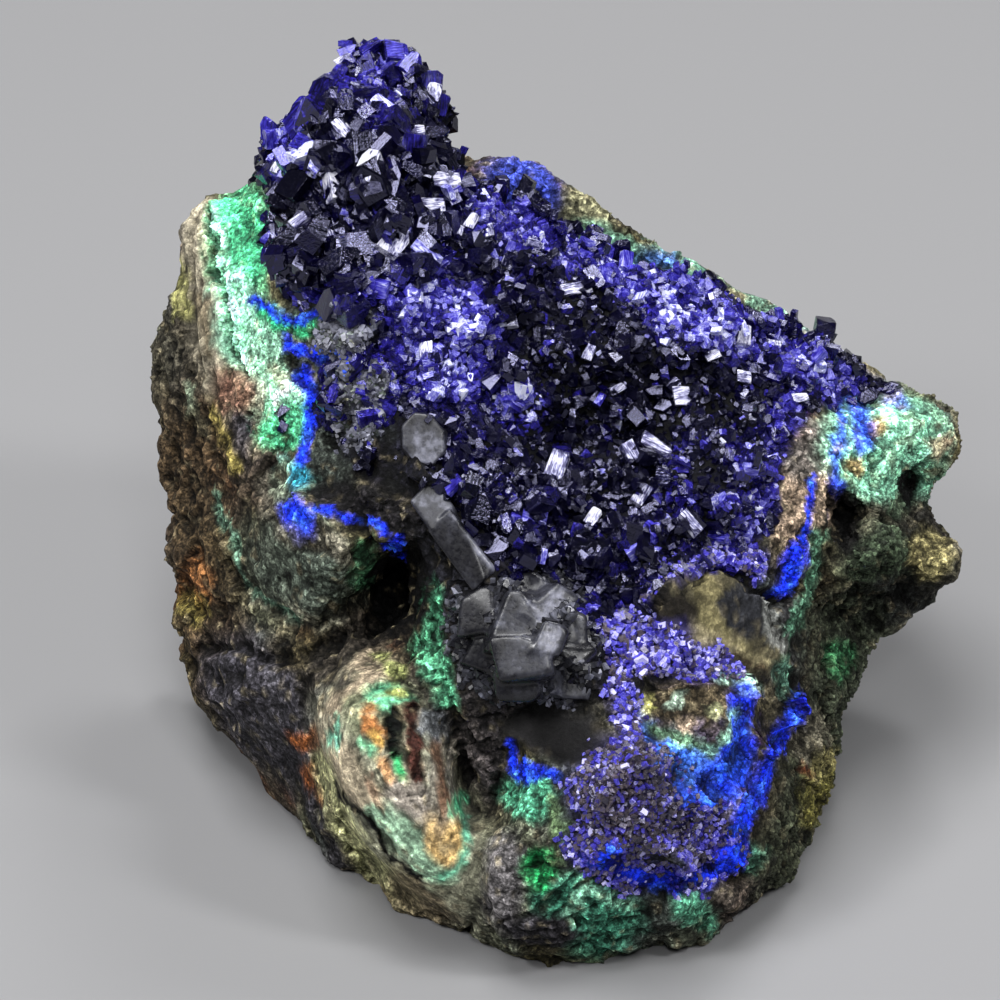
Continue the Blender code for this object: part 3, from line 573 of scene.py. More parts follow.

# Right: the pale brown wall, the malachite wing, the mossy lump and rim and the dark shelf.
# The lower right flank is laid darker all over.
darker_right_flank = front * spot(37.0, -16.0, 9.0, 18.0, -10)
lay((58, 62, 54), 0.6 * darker_right_flank)
paint(((158, 138, 118), 30.2, 0, 2.8, 6.2, -15), ((104, 99, 95), 31, 4.8, 2.5, 2.8, 0, 0.9),
      ((132, 196, 164), 38.5, 5.6, 6.4, 5.6, -20))
lay((128, 132, 104), 0.6 * front * spot(40.0, 4.0, 6.0, 5.0) * patchy(0.0016, 36, 0.1, 0.5))
paint(((184, 140, 84), 37.6, 7.4, 0.7, 0.9, 0, 0.8), ((184, 140, 84), 35.6, 3.4, 0.8, 1, 0, 0.8),
      ((90, 104, 214), 39.4, 10.4, 0.9, 1.6, 20, 0.8), ((160, 118, 96), 43.8, 5.6, 1.6, 1.2, 0, 0.7),
      (BLUE, [(35.4, 11), (36.2, 8.4), (36.4, 5.8)], 1, 0.85),
      (BLUE, [(34, 12), (33.7, 6), (33.4, 0.5)], 0.5, 0.8), ((62, 74, 56), 37.8, -5.8, 4.4, 3.4, -10),
      ((170, 160, 112), 43.8, -5.8, 2.3, 2.6, 0), ((32, 34, 32), 37.2, -10.8, 5.6, 3, 8),
      ((60, 66, 52), [(34.5, -13), (34.5, -20), (32.5, -28), (29, -36)], 4.4, 0.9),
      ((62, 140, 90), 33.8, -16.5, 1.4, 2, 0, 0.6), ((122, 116, 60), 31.6, -29.5, 2, 3.8, -10, 0.8),
      ((120, 114, 98), 30.6, -23.2, 2.4, 2.8, 0, 0.75), ((150, 142, 96), 32.2, -26.4, 1.8, 1.2, 0, 0.8),
      ((120, 62, 36), 30.4, -26.4, 0.6, 0.5, 0, 0.8),
      ((112, 168, 136), [(31.5, -3.5), (30.5, -9), (28.5, -13.5), (26.5, -16)], 0.7, 0.9))

# Bare rock shown through the blue crust: banded brown, tan and slate grey.
paint(((104, 98, 76), 21, -11.6, 7.3, 4.6, -30, 1, 0.1), ((36, 32, 26), 17, -10.3, 2.7, 1.8, -12, 1, 0.1),
      ((160, 150, 108), 20.4, -9.6, 1.3, 2.9, 8, 1, 0.1),
      ((166, 156, 112), 21.8, -13.6, 3.4, 1.5, -28, 0.9, 0.15),
      ((52, 53, 58), 24.1, -10.2, 2.9, 2.7, 20, 1, 0.08),
      ((140, 142, 138), 27, -12, 0.9, 2.9, 14, 0.9, 0.15),
      ((190, 178, 136), [(19, -12.9), (22.4, -14.2), (26, -15.2)], 0.35, 0.9),
      ((66, 54, 38), [(20.4, -14), (23.2, -15), (26.2, -16.2)], 0.4, 0.9),
      ((118, 172, 146), 27, -17.2, 0.9, 1.8, 15, 0.9),
      # Black along the cleft above the window: painted shadow in the cleft.
      (BLACK, [(14.2, -9.8), (18.3, -6.8), (22, -6.6), (25.2, -8)], 0.5),
      ((86, 76, 58), 18.4, -20.8, 5.2, 3, -12, 1, 0.12), ((196, 224, 200), 17.4, -19.3, 0.8, 0.8),
      ((190, 188, 112), 14.2, -19.6, 0.9, 1.1), ((206, 184, 158), 17.8, -21.8, 0.9, 0.6),
      ((196, 200, 150), 20.6, -20.6, 0.9, 0.6),
      ((190, 232, 206), [(21, -16.9), (23.4, -17.6), (24.2, -18.6)], 0.9),
      ((46, 45, 46), 5.3, -22.2, 4.5, 2.6, -6))

# The back ridge behind the crystals: blue blocks, then olive tan and mint to the right tip.
paint(((66, 84, 200), 2.2, 32, 4.2, 2.6, -20, 0.9), ((132, 130, 100), 9, 29.2, 3.4, 2.2, -35, 0.9),
      ((124, 176, 150), [(8, 26.5), (14, 25), (19, 23.5)], 1.6, 0.9),
      ((150, 196, 168), [(22, 21), (26, 19.6), (30, 17.6)], 1.6, 0.9),
      ((140, 134, 156), [(30, 16.5), (35, 13.5), (39, 11)], 1.3, 0.8),
      ((84, 118, 212), [(14.4, 25.4), (17.6, 24.4)], 0.9, 0.8),
      ((172, 152, 116), [(20.6, 22), (24, 20.8)], 0.9, 0.8))

# Deep places: painted shadow, near-black laid into the cavity under the terrace and those beside the wing.
paint(((10, 9, 9), -10, -8.8, 3.2, 5.4, 0), ((8, 8, 8), 41.2, 1.9, 1.1, 2.7, 12),
      ((16, 15, 14), 34, -1.8, 1.6, 3.4, 0))

# Where each growth lies on the stone: the stain under the crystals, and the matte blue open beside them.
rock_near = distances(points, "matrix_rock")
edge_noise = 0.6 * lumpy(0.003, 31) + 0.4 * lumpy(0.0011, 32)
GROWTH_EDGE = 0.4


def belongs(node):
    """1 where the surface is the growth's own and 0 where it is another's, with a ragged edge."""
    return rise(-GROWTH_EDGE, GROWTH_EDGE, rock_near - distances(points, node) + edge_noise)


azurite_main = belongs("azurite_main_crust")
azurite_lower = belongs("azurite_lower_crust")
bare = most(*(spot(*sizes) for sizes in (
    (-15.3, 17.0, 3.4, 2.8, -10), (-13.8, 8.6, 3.0, 4.6), (31.0, 1.0, 3.4, 6.2, -12), (-7.1, 5.7, 2.0, 2.5),
    (-9.5, 3.5, 2.2, 3.0, 20), (-6.2, -0.7, 2.4, 2.0, -44), (-3.4, -4.8, 4.4, 2.2, -46))))
spire_edge = front * spot(-22.6, 35.6, 1.7, 4.4, -8)
foot = most(spot(11.5, -9.5, 4.0, 6.0, 30), spot(18.5, -6.8, 5.0, 1.3, -5)) * front
azurite_main = most(azurite_main * (1 - 0.98 * bare), spire_edge, foot)
band = most(vein([(12.4, -13.2), (16.6, -14.4)], 2.7),
            vein([(16.6, -14.4), (19.8, -15.6)], 2.0),
            vein([(19.8, -15.6), (23.0, -16.8)], 0.9),
            vein([(12.2, -14.5), (11.3, -18), (12.6, -20.5)], 1.6))
rim_above = vein([(14.8, -8.0), (17.0, -5.6), (20, -4.9), (25, -6.2)], 1.3)
dome = spot(12.6, -28.2, 6.0, 5.6)
lower_rim = vein([(7.5, -33), (13, -36), (19, -36.5), (22.5, -33.5)], 1.5)
dark_druse = vein([(18.4, -29.5), (19.6, -33.5)], 2.0)
window_spot = most(spot(21.0, -11.6, 7.1, 4.4, -30, 0.12) * (1 - band),
                   spot(18.4, -21.4, 5.0, 3.3, -10, 0.12))
azurite_lower = front * numpy.clip(band + rim_above + dome + lower_rim + 0.8 * dark_druse, 0, 1)
azurite_lower = azurite_lower * (1 - window_spot)
azurite_main = azurite_main * (1 - window_spot) * (1 - 0.9 * band)
# The ridge, broad patch, terrace and right rim: lighter violet, partly the crystals' own and partly painted
# sheen.
ridge = vein([(-3, 29.0), (6, 25.4), (14, 21.6), (22, 18.0), (30, 14.0), (34, 11)], 2.3)
broad = spot(20, 18.5, 8.5, 3.8, -28)
terrace = spot(-5.5, 15.5, 5.5, 7.5, 25)
right_rim = vein([(29, 9.5), (28, 6), (24.5, -3.5), (19, -7)], 1.6)
pale = most(ridge, broad, terrace, right_rim)
oval((26, 26, 36), -6.6, 5, 3.6, 4, 0)
lay(INK, azurite_main)
lay((50, 42, 156), 0.8 * azurite_main * pale)
lay((40, 32, 140), 0.85 * azurite_lower)
lay((44, 38, 52), 0.85 * dome * front)
paint(((16, 16, 24), 3.6, -13, 9.4, 8, 0), ((46, 45, 46), 5.3, -22.2, 4.5, 2.6, -6))
BLUE_VEINS = [([(-25, 20.2), (-22, 18.6), (-18.2, 18.1)], 0.45),
              ([(-21, 15.4), (-18, 14.8), (-15.1, 12.9)], 0.8),
              ([(-18.6, 12.4), (-18.7, 9.7), (-19.0, 7.2), (-19.6, 4)], 0.75),
              ([(-20.6, -1), (-19.6, -2)], 1.5),
              ([(-18.5, -0.6), (-14, -1.2), (-10.8, -2.6)], 0.3), ([(-10.2, -3.4), (-10.0, -4.6)], 0.6),
              ([(23.9, -19.5), (23.0, -23), (21.4, -29.3)], 1.2), ([(29.3, -19.8), (28.8, -20.8)], 1.3),
              ([(27.5, -22), (26.2, -25.5), (24.6, -29.3), (23.4, -31.7), (21.9, -34)], 1.0),
              ([(31.2, 2), (30.6, -2.0), (29.6, -5.0)], 0.45), ([(29.6, -5.0), (28.0, -8.4)], 1.0),
              ([(0.8, -23.5), (0.8, -25.5)], 0.7),
              ([(2, -26), (5.4, -26.4)], 0.6), ([(10, -34), (15, -37), (20, -36.4), (23, -34)], 0.9),
              ([(-23.6, 37), (-22.4, 39.4), (-20.4, 41)], 0.8), ([(-18.4, 43.6), (-17.6, 41.8)], 0.8)]
blue = most(*(vein(path, width) for path, width in BLUE_VEINS),
            0.85 * spot(19.5, -25.5, 4.6, 4.0, -30))
blue = blue * rise(-0.45, 0.1, lumpy(0.0011, 33) + 1.2 * (blue - 0.5)) * front
lay(BLUE, blue)
paint(((62, 112, 226), 15.8, -22.9, 3.2, 1.5, -50, 0.85, 0.35),
      ((70, 124, 232), 19, -25.3, 3.6, 1.6, -10, 0.75, 0.35),
      ((84, 132, 170), 17.6, -26.8, 1.5, 0.9, -20, 0.6, 0.35),
      ((34, 80, 238), 21.6, -27.4, 2, 3, 15, 0.7, 0.35))
lay((12, 14, 128), 0.7 * blue * patchy(0.0013, 34, 0.05, 0.5))
lay((70, 124, 250), 0.6 * blue * patchy(0.0010, 35, 0.15, 0.6))
paint(((44, 26, 60), [(25.6, -21), (24.9, -24.6), (23.7, -28.2)], 0.3, 0.9),
      ((86, 76, 58), 18.2, -22, 3.9, 1.5, -8, 0.9, 0.12), ((190, 168, 144), 17.8, -22, 0.9, 0.6, 0, 0.9),
      ((108, 150, 116), [(14.6, -21.2), (17, -23), (20.4, -24), (22.4, -22.8), (23, -20.6)], 0.5, 0.85),
      ((8, 6, 90), 29.2, -20.2, 0.9, 0.9, 0, 0.8))

# Painted shade darkens the hollows and painted highlights lighten the edges; specks and pits break up every
# patch.
shading = numpy.clip(1 - 3.2 * hollow_small, 0.35, 1.5) * numpy.clip(1 - 0.8 * hollow_wide, 0.3, 1.35)
speckle = numpy.exp(0.38 * lumpy(0.0006, 61) + 0.33 * lumpy(0.0013, 62)
                    + 0.22 * lumpy(0.0034, 63))
open_stone = 1 - most(azurite_main, azurite_lower)
open_stone *= 1 - 0.8 * front * spot(5.3, -22.2, 4.8, 2.8, -6)
open_stone *= 1 - front * spot(3.6, -13.0, 9.4, 8.0, 0)
lay(BLACK, 0.70 * rise(0.42, 0.72, lumpy(0.0011, 64)) * open_stone)
open_stone *= 1 - blue
lay(TAN, 0.50 * rise(0.45, 0.75, lumpy(0.0007, 65)) * open_stone * (1 - 0.5 * darker_right_flank))
colour = colour * (shading * speckle)[:, None]
slab_zone = most(spot(-25.5, 24, 10, 5.0, -75), spot(-23, 10, 6, 4.5, -60))
bright = most(front * most(slab_zone, 0.75 * spot(38.5, 6, 8, 7), blue),
              0.7 * front * spot(-9.5, -28, 14, 7.5, -62))
colour = colour * (0.47 + 0.53 * bright)[:, None]
colour = numpy.clip(colour, 0.002, 0.95)

# How coarse the grain of the stone is: fine on the flat windows, the rind and the tongue.
plain = front * most(0.62 * spot(*WINDOW), 0.90 * spot(*SLATE), 0.50 * spot(*TONGUE))
plain = most(plain, 0.45 * front * vein(BARK, 2.0))


def mark(mesh, label, values):
    """Keeps a value for each point of a mesh, for a material or a growth to read."""
    layer = mesh.attributes.new(label, "FLOAT", "POINT")
    layer.data.foreach_set("value", numpy.asarray(values, numpy.float32))


mark(rock.data, "coarse", 1 - plain)
paint_layer = rock.data.attributes.new("paint", "FLOAT_COLOR", "POINT")
paint_layer.data.foreach_set("color", numpy.c_[colour, numpy.ones(len(points))].astype(numpy.float32).ravel())


def put(tree, kind, inputs=None, **settings):
    """A new node with its settings and inputs; an input is a value or another node's socket."""
    node = tree.nodes.new(kind)
    for key, value in settings.items():
        setattr(node, key, value)
    for key, value in (inputs or {}).items():
        if isinstance(value, bpy.types.NodeSocket):
            tree.links.new(value, node.inputs[key])
        else:
            node.inputs[key].default_value = value
    return node


def blank_material(name):
    material = bpy.data.materials.new(name)
    material.use_nodes = True
    material.node_tree.nodes.clear()
    return material, material.node_tree


def noise_at(tree, scale, detail, rough):
    where = put(tree, "ShaderNodeTexCoord")
    return put(tree, "ShaderNodeTexNoise", {"Vector": where.outputs["Object"], "Scale": scale,
                                            "Detail": detail, "Roughness": rough}).outputs["Fac"]


def ramp(tree, value, stops):
    """A colour or grey for each value; stops are (place, grey or colour)."""
    node = put(tree, "ShaderNodeValToRGB", {"Fac": value})
    while len(node.color_ramp.elements) < len(stops):
        node.color_ramp.elements.new(0.5)
    for element, (at, shade) in zip(node.color_ramp.elements, stops):
        element.position = at
        shade = (shade, shade, shade) if isinstance(shade, (int, float)) else shade
        element.color = (*shade, 1)
    return node.outputs["Color"]


def multiplied(tree, factor, one, two):
    """One colour times another, by a factor from 0 to 1."""
    node = put(tree, "ShaderNodeMix", data_type="RGBA", blend_type="MULTIPLY")
    for index, value in ((0, factor), (6, one), (7, two)):
        if isinstance(value, bpy.types.NodeSocket):
            tree.links.new(value, node.inputs[index])
        else:
            node.inputs[index].default_value = value if index == 0 else (*value, 1)
    return node.outputs[2]


def maths(tree, operation, *values):
    """One step of arithmetic on numbers or on other nodes' sockets."""
    return put(tree, "ShaderNodeMath", dict(enumerate(values)), operation=operation).outputs[0]


def value_of(tree, attribute, output="Fac"):
    return put(tree, "ShaderNodeAttribute", attribute_name=attribute).outputs[output]


def skin(tree, shade, rough, relief, **more):
    """The surface itself; relief is what raises it, how strongly and how far in metres."""
    bump = put(tree, "ShaderNodeBump", dict(zip(("Height", "Strength", "Distance"), relief)))
    inputs = {"Base Color": shade, "Roughness": rough, "Normal": bump.outputs["Normal"]}
    inputs.update({key.replace("_", " "): value for key, value in more.items()})
    surface = put(tree, "ShaderNodeBsdfPrincipled", inputs)
    put(tree, "ShaderNodeOutputMaterial", {"Surface": surface.outputs[0]})


def flecks_at(tree, scale):
    """Random shades, one for each grain of the stone."""
    where = put(tree, "ShaderNodeTexCoord")
    cells = put(tree, "ShaderNodeTexVoronoi", {"Vector": where.outputs["Object"], "Scale": scale})
    return cells.outputs["Color"]


def rock_finish():
    material, tree = blank_material("iron-stained rock")
    shade = value_of(tree, "paint", "Color")
    coarse = value_of(tree, "coarse")
    fine = noise_at(tree, 2600, 4, 0.75)
    middle = noise_at(tree, 850, 3, 0.65)
    grains = flecks_at(tree, 2100)
    small = flecks_at(tree, 4800)
    for value, stops in ((fine, [(0.36, 0.45), (0.50, 1.0), (0.64, 1.7)]),
                         (middle, [(0.36, 0.60), (0.50, 1.0), (0.64, 1.45)]),
                         (grains, [(0.20, 0.50), (0.55, 1.0), (0.80, 2.0)]),
                         (small, [(0.20, 0.60), (0.55, 1.0), (0.80, 1.6)])):
        shade = multiplied(tree, coarse, shade, ramp(tree, value, stops))
    height = maths(tree, "ADD", maths(tree, "ADD", fine, middle), grains)
    rough = ramp(tree, fine, [(0.3, 0.92), (0.7, 0.60)])
    skin(tree, shade, rough, (height, 0.9, 0.00022), Specular_IOR_Level=0.15)
    return material


rock.data.materials.clear()
rock.data.materials.append(rock_finish())
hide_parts("matrix_rock", "malachite_left_crust", "malachite_wing")
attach(rock, "root")


# ---------------------------------------------------------------------------------------------------
# Azurite crystals: near-black, glassy, blocky crystals with slanted ends, grown on the spire, the bowl
# and the ridge, with a druse of finer violet ones.  They stand on the rock as one sparkling crust.
LEAN_OF_BLOCK = 0.25
BURIED = 0.26


def cut_crystal(name, seed, corners, slender, roof=True, flat=0.72, worn=0.0):
    """A unit crystal: a leaning block with bevelled corners and a chisel-shaped end.

    Its own coordinates go with it as an attribute, for the growth lines along its faces.
    """
    chance = random.Random(seed)
    work = bmesh.new()
    bmesh.ops.create_cube(work, size=1.0)
    for vertex in work.verts:
        vertex.co.z *= slender
        vertex.co.x += LEAN_OF_BLOCK * vertex.co.z
        vertex.co.y *= flat
    cuts = []
    if roof:
        turn = chance.uniform(0, 2 * math.pi)
        cuts = [(turn, chance.uniform(0.7, 1.5), chance.uniform(0.62, 0.8)),
                (turn + math.pi + chance.uniform(-0.5, 0.5), chance.uniform(0.9, 2.4),
                 chance.uniform(0.68, 0.88))]
    for _ in range(corners):
        cuts.append((chance.uniform(0, 2 * math.pi), chance.uniform(-0.1, 0.5), chance.uniform(0.62, 0.86)))
    for turn, lift, share in cuts:
        normal = Vector((math.cos(turn), math.sin(turn), lift)).normalized()
        reach = max(vertex.co.dot(normal) for vertex in work.verts) * share
        parts = work.verts[:] + work.edges[:] + work.faces[:]
        bmesh.ops.bisect_plane(work, geom=parts, plane_co=normal * reach, plane_no=normal, clear_outer=True)
        bmesh.ops.holes_fill(work, edges=[edge for edge in work.edges if edge.is_boundary], sides=0)
    bmesh.ops.dissolve_limit(work, angle_limit=0.01, verts=work.verts, edges=work.edges)
    if worn:
        bmesh.ops.bevel(work, geom=work.edges[:], offset=worn, segments=1, affect="EDGES", clamp_overlap=True)
    bmesh.ops.recalc_face_normals(work, faces=work.faces)
    mesh = meshed(work, name)
    own = mesh.attributes.new("own", "FLOAT_VECTOR", "POINT")
    own.data.foreach_set("vector", numpy.ravel([vertex.co for vertex in mesh.vertices]))
    put_points(mesh, points_of(mesh) - numpy.array((0, 0, BURIED * slender)))
    return bpy.data.objects.new(name, mesh)


def shelf_of(name, items):
    """A collection that holds the crystals to pick from; it is put away after the growth is made."""
    shelf = bpy.data.collections.new(name)
    for item in items:
        shelf.objects.link(item)
    return shelf


def growth_tree():
    """Scatters pieces over a surface, leaning at random about its normal, sized by its size attribute."""
    tree = bpy.data.node_groups.new("growth", "GeometryNodeTree")
    face = tree.interface
    face.new_socket("Geometry", in_out="OUTPUT", socket_type="NodeSocketGeometry")
    for name, kind in (("Geometry", "Geometry"), ("Pieces", "Collection"), ("Spacing", "Float"),
                       ("Most", "Float"), ("Lean", "Float"), ("Tone spread", "Float"),
                       ("Sparkle", "Float"), ("Seed", "Int"), ("Surface", "Material")):
        face.new_socket(name, in_out="INPUT", socket_type="NodeSocket" + kind)
    given = put(tree, "NodeGroupInput").outputs

    def named(label):
        return put(tree, "GeometryNodeInputNamedAttribute", {"Name": label}, data_type="FLOAT").outputs[0]

    def chance(low, high, seed):
        limits = {2: low, 3: high, "Seed": seed}
        return put(tree, "FunctionNodeRandomValue", limits, data_type="FLOAT").outputs[1]

    scatter = put(tree, "GeometryNodeDistributePointsOnFaces",
                  {"Mesh": given["Geometry"], "Distance Min": given["Spacing"], "Density Max": given["Most"],
                   "Density Factor": named("cover"), "Seed": given["Seed"]}, distribute_method="POISSON")
    swing = maths(tree, "MULTIPLY", chance(-1, 1, 5), given["Lean"])
    sway = maths(tree, "MULTIPLY", chance(-1, 1, 6), given["Lean"])
    about = maths(tree, "ADD", named("spin"), chance(-0.5, 0.5, 7))
    spin = put(tree, "ShaderNodeCombineXYZ", {"X": swing, "Y": sway, "Z": about})
    turned = put(tree, "FunctionNodeEulerToRotation", {"Euler": spin.outputs[0]})
    pose = put(tree, "FunctionNodeRotateRotation", {"Rotation": scatter.outputs["Rotation"],
                                                    "Rotate By": turned.outputs[0]}, rotation_space="LOCAL")
    shift = maths(tree, "MULTIPLY", chance(-1, 1, 8), given["Tone spread"])
    # Painted glints: a rare few pieces get their tone raised towards the palest end, by Sparkle.
    rare = maths(tree, "POWER", chance(0, 1, 10), 16.0)
    room = maths(tree, "MULTIPLY", maths(tree, "SUBTRACT", 1.1, named("tone")), given["Sparkle"])
    tone = maths(tree, "ADD", named("tone"), maths(tree, "MULTIPLY_ADD", rare, room, shift))
    toned = put(tree, "GeometryNodeStoreNamedAttribute",
                {"Geometry": scatter.outputs["Points"], "Name": "tone", "Value": tone},
                data_type="FLOAT", domain="POINT")
    size = maths(tree, "MULTIPLY", named("size"), chance(0.5, 1.4, 9))
    kinds = put(tree, "GeometryNodeCollectionInfo", {"Collection": given["Pieces"], "Separate Children": True,
                                                     "Reset Children": True})
    grown = put(tree, "GeometryNodeInstanceOnPoints",
                {"Points": toned.outputs[0], "Instance": kinds.outputs[0], "Pick Instance": True,
                 "Rotation": pose.outputs[0], "Scale": size})
    solid = put(tree, "GeometryNodeRealizeInstances", {"Geometry": grown.outputs[0]})
    dressed = put(tree, "GeometryNodeSetMaterial", {"Geometry": solid.outputs[0],
                                                    "Material": given["Surface"]})
    put(tree, "NodeGroupOutput", {"Geometry": dressed.outputs[0]})
    return tree


GROWTH = growth_tree()


def grow(name, shelf, cover, size, tone, material, spacing, lean, spread, seed, sparkle=0.95):
    """Grows pieces over the rock: cover is 0 to 1, size in millimetres and tone 0 to 1 at each point.

    Most pieces keep the tone of their place; a few, by sparkle, are far paler: painted glints.
    """
    bed = linked(name, rock.data.copy())
    spin = 9 * lumpy(0.0045, seed + 80)
    for label, values in (("cover", cover), ("size", size / 1000), ("tone", tone), ("spin", spin)):
        mark(bed.data, label, values * numpy.ones(len(points)))
    change = bed.modifiers.new("growth", "NODES")
    change.node_group = GROWTH
    wanted = {"Pieces": shelf, "Spacing": spacing / 1000, "Most": 1.6e6 / spacing ** 2, "Lean": lean,
              "Tone spread": spread, "Sparkle": sparkle, "Seed": seed, "Surface": material}
    for socket in GROWTH.interface.items_tree:
        if socket.item_type == "SOCKET" and socket.name in wanted:
            change[socket.identifier] = wanted[socket.name]
    baked(bed)
    for label in ("cover", "size", "spin"):
        if label in bed.data.attributes:
            bed.data.attributes.remove(bed.data.attributes[label])
    return bed


def growth_lines(tree, fineness):
    """Streaks that run along each crystal, from its own coordinates."""
    own = value_of(tree, "own", "Vector")
    tone = value_of(tree, "tone")
    drawn = put(tree, "ShaderNodeVectorMath", {0: own, 1: (fineness, fineness, 0.12 * fineness)},
                operation="MULTIPLY").outputs[0]
    return put(tree, "ShaderNodeTexNoise", {"Vector": drawn, "W": tone, "Scale": 1.0, "Detail": 2.0,
                                            "Roughness": 0.6}, noise_dimensions="4D").outputs["Fac"]


def clouded_tone(tree, *noises):
    """The tone of each place, shifted by noises, each with its share."""
    tone = value_of(tree, "tone")
    for value, share in noises:
        tone = maths(tree, "MULTIPLY_ADD", maths(tree, "SUBTRACT", value, 0.5), share, tone)
    return tone


def azurite_finish(name, rough, stops, patchiness=1.0):
    """Near-black blue to violet by tone, with paler growth lines and glassy faces."""
    material, tree = blank_material(name)
    cloud = noise_at(tree, 700, 3, 0.6)
    streak = growth_lines(tree, 9.0)
    tone = clouded_tone(tree, (cloud, 0.7 * patchiness), (streak, 0.8 * patchiness))
    fine = noise_at(tree, 2400, 3, 0.65)
    lines = maths(tree, "MULTIPLY_ADD", streak, 0.8, fine)
    gloss = ramp(tree, fine, [(0.35, rough * 0.4), (0.65, rough * 1.8)])
    skin(tree, ramp(tree, tone, stops), gloss, (lines, 0.5, 0.00009), IOR=1.73,
         Specular_Tint=(0.66, 0.66, 1.0, 1.0))
    return material


# The pale lavender-white tops of these ramps are painted glints and sheen, reached by the rare sparkling
# pieces and the palest places; below them the colours are the crystals' own.
DEEP_VIOLET = [(0.0, (0.0008, 0.0007, 0.0034)), (0.34, (0.0024, 0.0018, 0.018)), (0.54, (0.010, 0.007, 0.11)),
               (0.70, (0.036, 0.028, 0.36)), (0.84, (0.15, 0.145, 0.53)), (0.93, (0.36, 0.37, 0.72)),
               (1.0, (0.70, 0.72, 0.90))]
SUGARY = [(0.0, (0.006, 0.005, 0.012)), (0.3, (0.030, 0.024, 0.028)), (0.48, (0.11, 0.09, 0.09)),
          (0.58, (0.022, 0.016, 0.13)), (0.72, (0.045, 0.035, 0.42)), (0.87, (0.12, 0.11, 0.60)),
          (1.0, (0.52, 0.50, 0.80))]
# Pale lavender-white with dark streaks: painted highlights, for the crystals set to catch the light.
PAINTED_GLINT_FACES = [(0.0, (0.004, 0.004, 0.016)), (0.35, (0.03, 0.028, 0.09)), (0.50, (0.22, 0.22, 0.36)),
              (0.64, (0.62, 0.62, 0.74)), (1.0, (0.90, 0.90, 0.95))]
LARGE_SLENDER, LARGE_FLAT, LARGE_WORN = (0.9, 1.3, 1.1), (0.7, 0.85, 0.78), 0.045
BLOCK_SLENDER, BLOCK_FLAT = (0.9, 1.3, 1.7), (0.5, 0.72, 0.62, 0.8)
large_blocks = shelf_of("large blocks", [
    cut_crystal(f"large_{i}", 20 + i, 3, LARGE_SLENDER[i % 3], True, LARGE_FLAT[i % 3], LARGE_WORN)
    for i in range(8)])
blocks = shelf_of("blocks", [
    cut_crystal(f"block_{i}", 40 + i, 2 + i % 2, BLOCK_SLENDER[i % 3], True, BLOCK_FLAT[i % 4])
    for i in range(10)])
long_blocks = shelf_of("long blocks", [cut_crystal(f"long_{i}", 55 + i, 2, 2.3) for i in range(4)])
needles = shelf_of("druse", [cut_crystal(f"fine_{i}", 70 + i, 1, 1.3, False) for i in range(5)])

# The places that have crystals of their own size and tone.
spire = spot(-13.2, 33.0, 15, 10.0, 80, 0.3)
tip = spot(-12.8, 42.5, 6.0, 5.5, 0)
fan = spot(2.0, 9.6, 2.9, 2.7)
rim_block = spot(20.5, 2.2, 4.4, 4.6) * (1 - spot(20.0, 2.6, 2.4, 2.6))
left_edge = vein([(-23, 40), (-21.5, 33), (-20, 42)], 1.6)
foot_line = vein([(-19, 19.5), (-14, 20.0), (-8, 21.5), (-4, 24)], 1.2)
bowl = spot(14, 10, 13, 8.5, -15)
slope = spot(7.5, -4.5, 4.5, 7.5, 35)
spire_side = most(spot(-4.2, 38.0, 2.4, 5.5, 14), spot(-17.2, 45.2, 2.6, 2.4))
beside_grey = front * spot(-13.6, 9.2, 3.6, 5.2)
# Lighter violet tones for the tip, ridge, terrace and rims: partly own colour, partly painted sheen of lit
# facets.
tone = 0.13 + 0.15 * lumpy(0.005, 41) + 0.10 * lumpy(0.0018, 45) - 0.18 * bowl - 0.06 * spire
for region, strength in ((tip, 0.46), (ridge, 0.67), (broad, 0.76), (terrace, 0.76), (fan, 0.80),
                         (rim_block, 0.62), (right_rim, 0.66), (left_edge, 0.72), (foot_line, 0.52),
                         (beside_grey, 0.70)):
    tone = most(tone, strength * region * (0.86 + 0.38 * lumpy(0.0016, 42)))
size = 1.34 + 0.40 * spire - 0.30 * pale - 0.30 * tip - 0.26 * bowl - 0.6 * spire_side
size += 0.25 * lumpy(0.004, 43)
azurite = azurite_finish("azurite", 0.12, DEEP_VIOLET)
azurite_main = azurite_main * (1 - 0.9 * blue)
large_cover = azurite_main * numpy.clip(0.9 * spire + 0.15 * foot_line + 0.20, 0, 1) * (1 - pale) * (1 - tip)
large_cover *= 1 - spire_side
big = grow("azurite_large_crystals", large_blocks, large_cover * rise(-0.4, 0.3, lumpy(0.006, 46)),
           1.6 + 0.65 * spire, 0.5 * tone + 0.03, azurite, 1.6, 0.7, 0.15, 2, 0.7)
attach(big, "root")
strips = grow("azurite_long_crystals", long_blocks, azurite_main * slope, 1.15, 0.18 + 0.3 * tone,
              azurite, 1.0, 0.9, 0.2, 8, 0.6)
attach(strips, "root")
main_cover = azurite_main * (1 - 0.30 * pale) * (1 - 0.7 * spire_side)
main = grow("azurite_crystals", blocks, main_cover, size, tone, azurite, 0.70, 0.80, 0.20, 3, 0.75)
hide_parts("azurite_main_crust")
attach(main, "root")

fine_cover = azurite_main * numpy.clip(0.40 + 0.5 * pale + fan + rim_block + 0.4 * tip, 0, 1)
fine_cover = most(fine_cover, 0.20 * beside_grey)
fine = grow("azurite_fine_druse", needles, fine_cover, 0.62 - 0.16 * bowl + 0.14 * pale, tone + 0.02,
            azurite_finish("violet azurite", 0.18, DEEP_VIOLET), 0.50, 0.95, 0.28, 4, 0.8)
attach(fine, "root")

lower_cover = rise(0.25, 0.60, azurite_lower) * (1 - 0.95 * blue)
lower_tone = 0.70 + 0.12 * lumpy(0.002, 44) - 0.32 * dome - 0.10 * dark_druse
lower = grow("azurite_lower_druse", needles, lower_cover, 0.52 + 0.06 * band, lower_tone,
             azurite_finish("sugary azurite", 0.2, SUGARY), 0.33, 0.95, 0.30, 5, 0.9)
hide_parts("azurite_lower_crust")
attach(lower, "root")
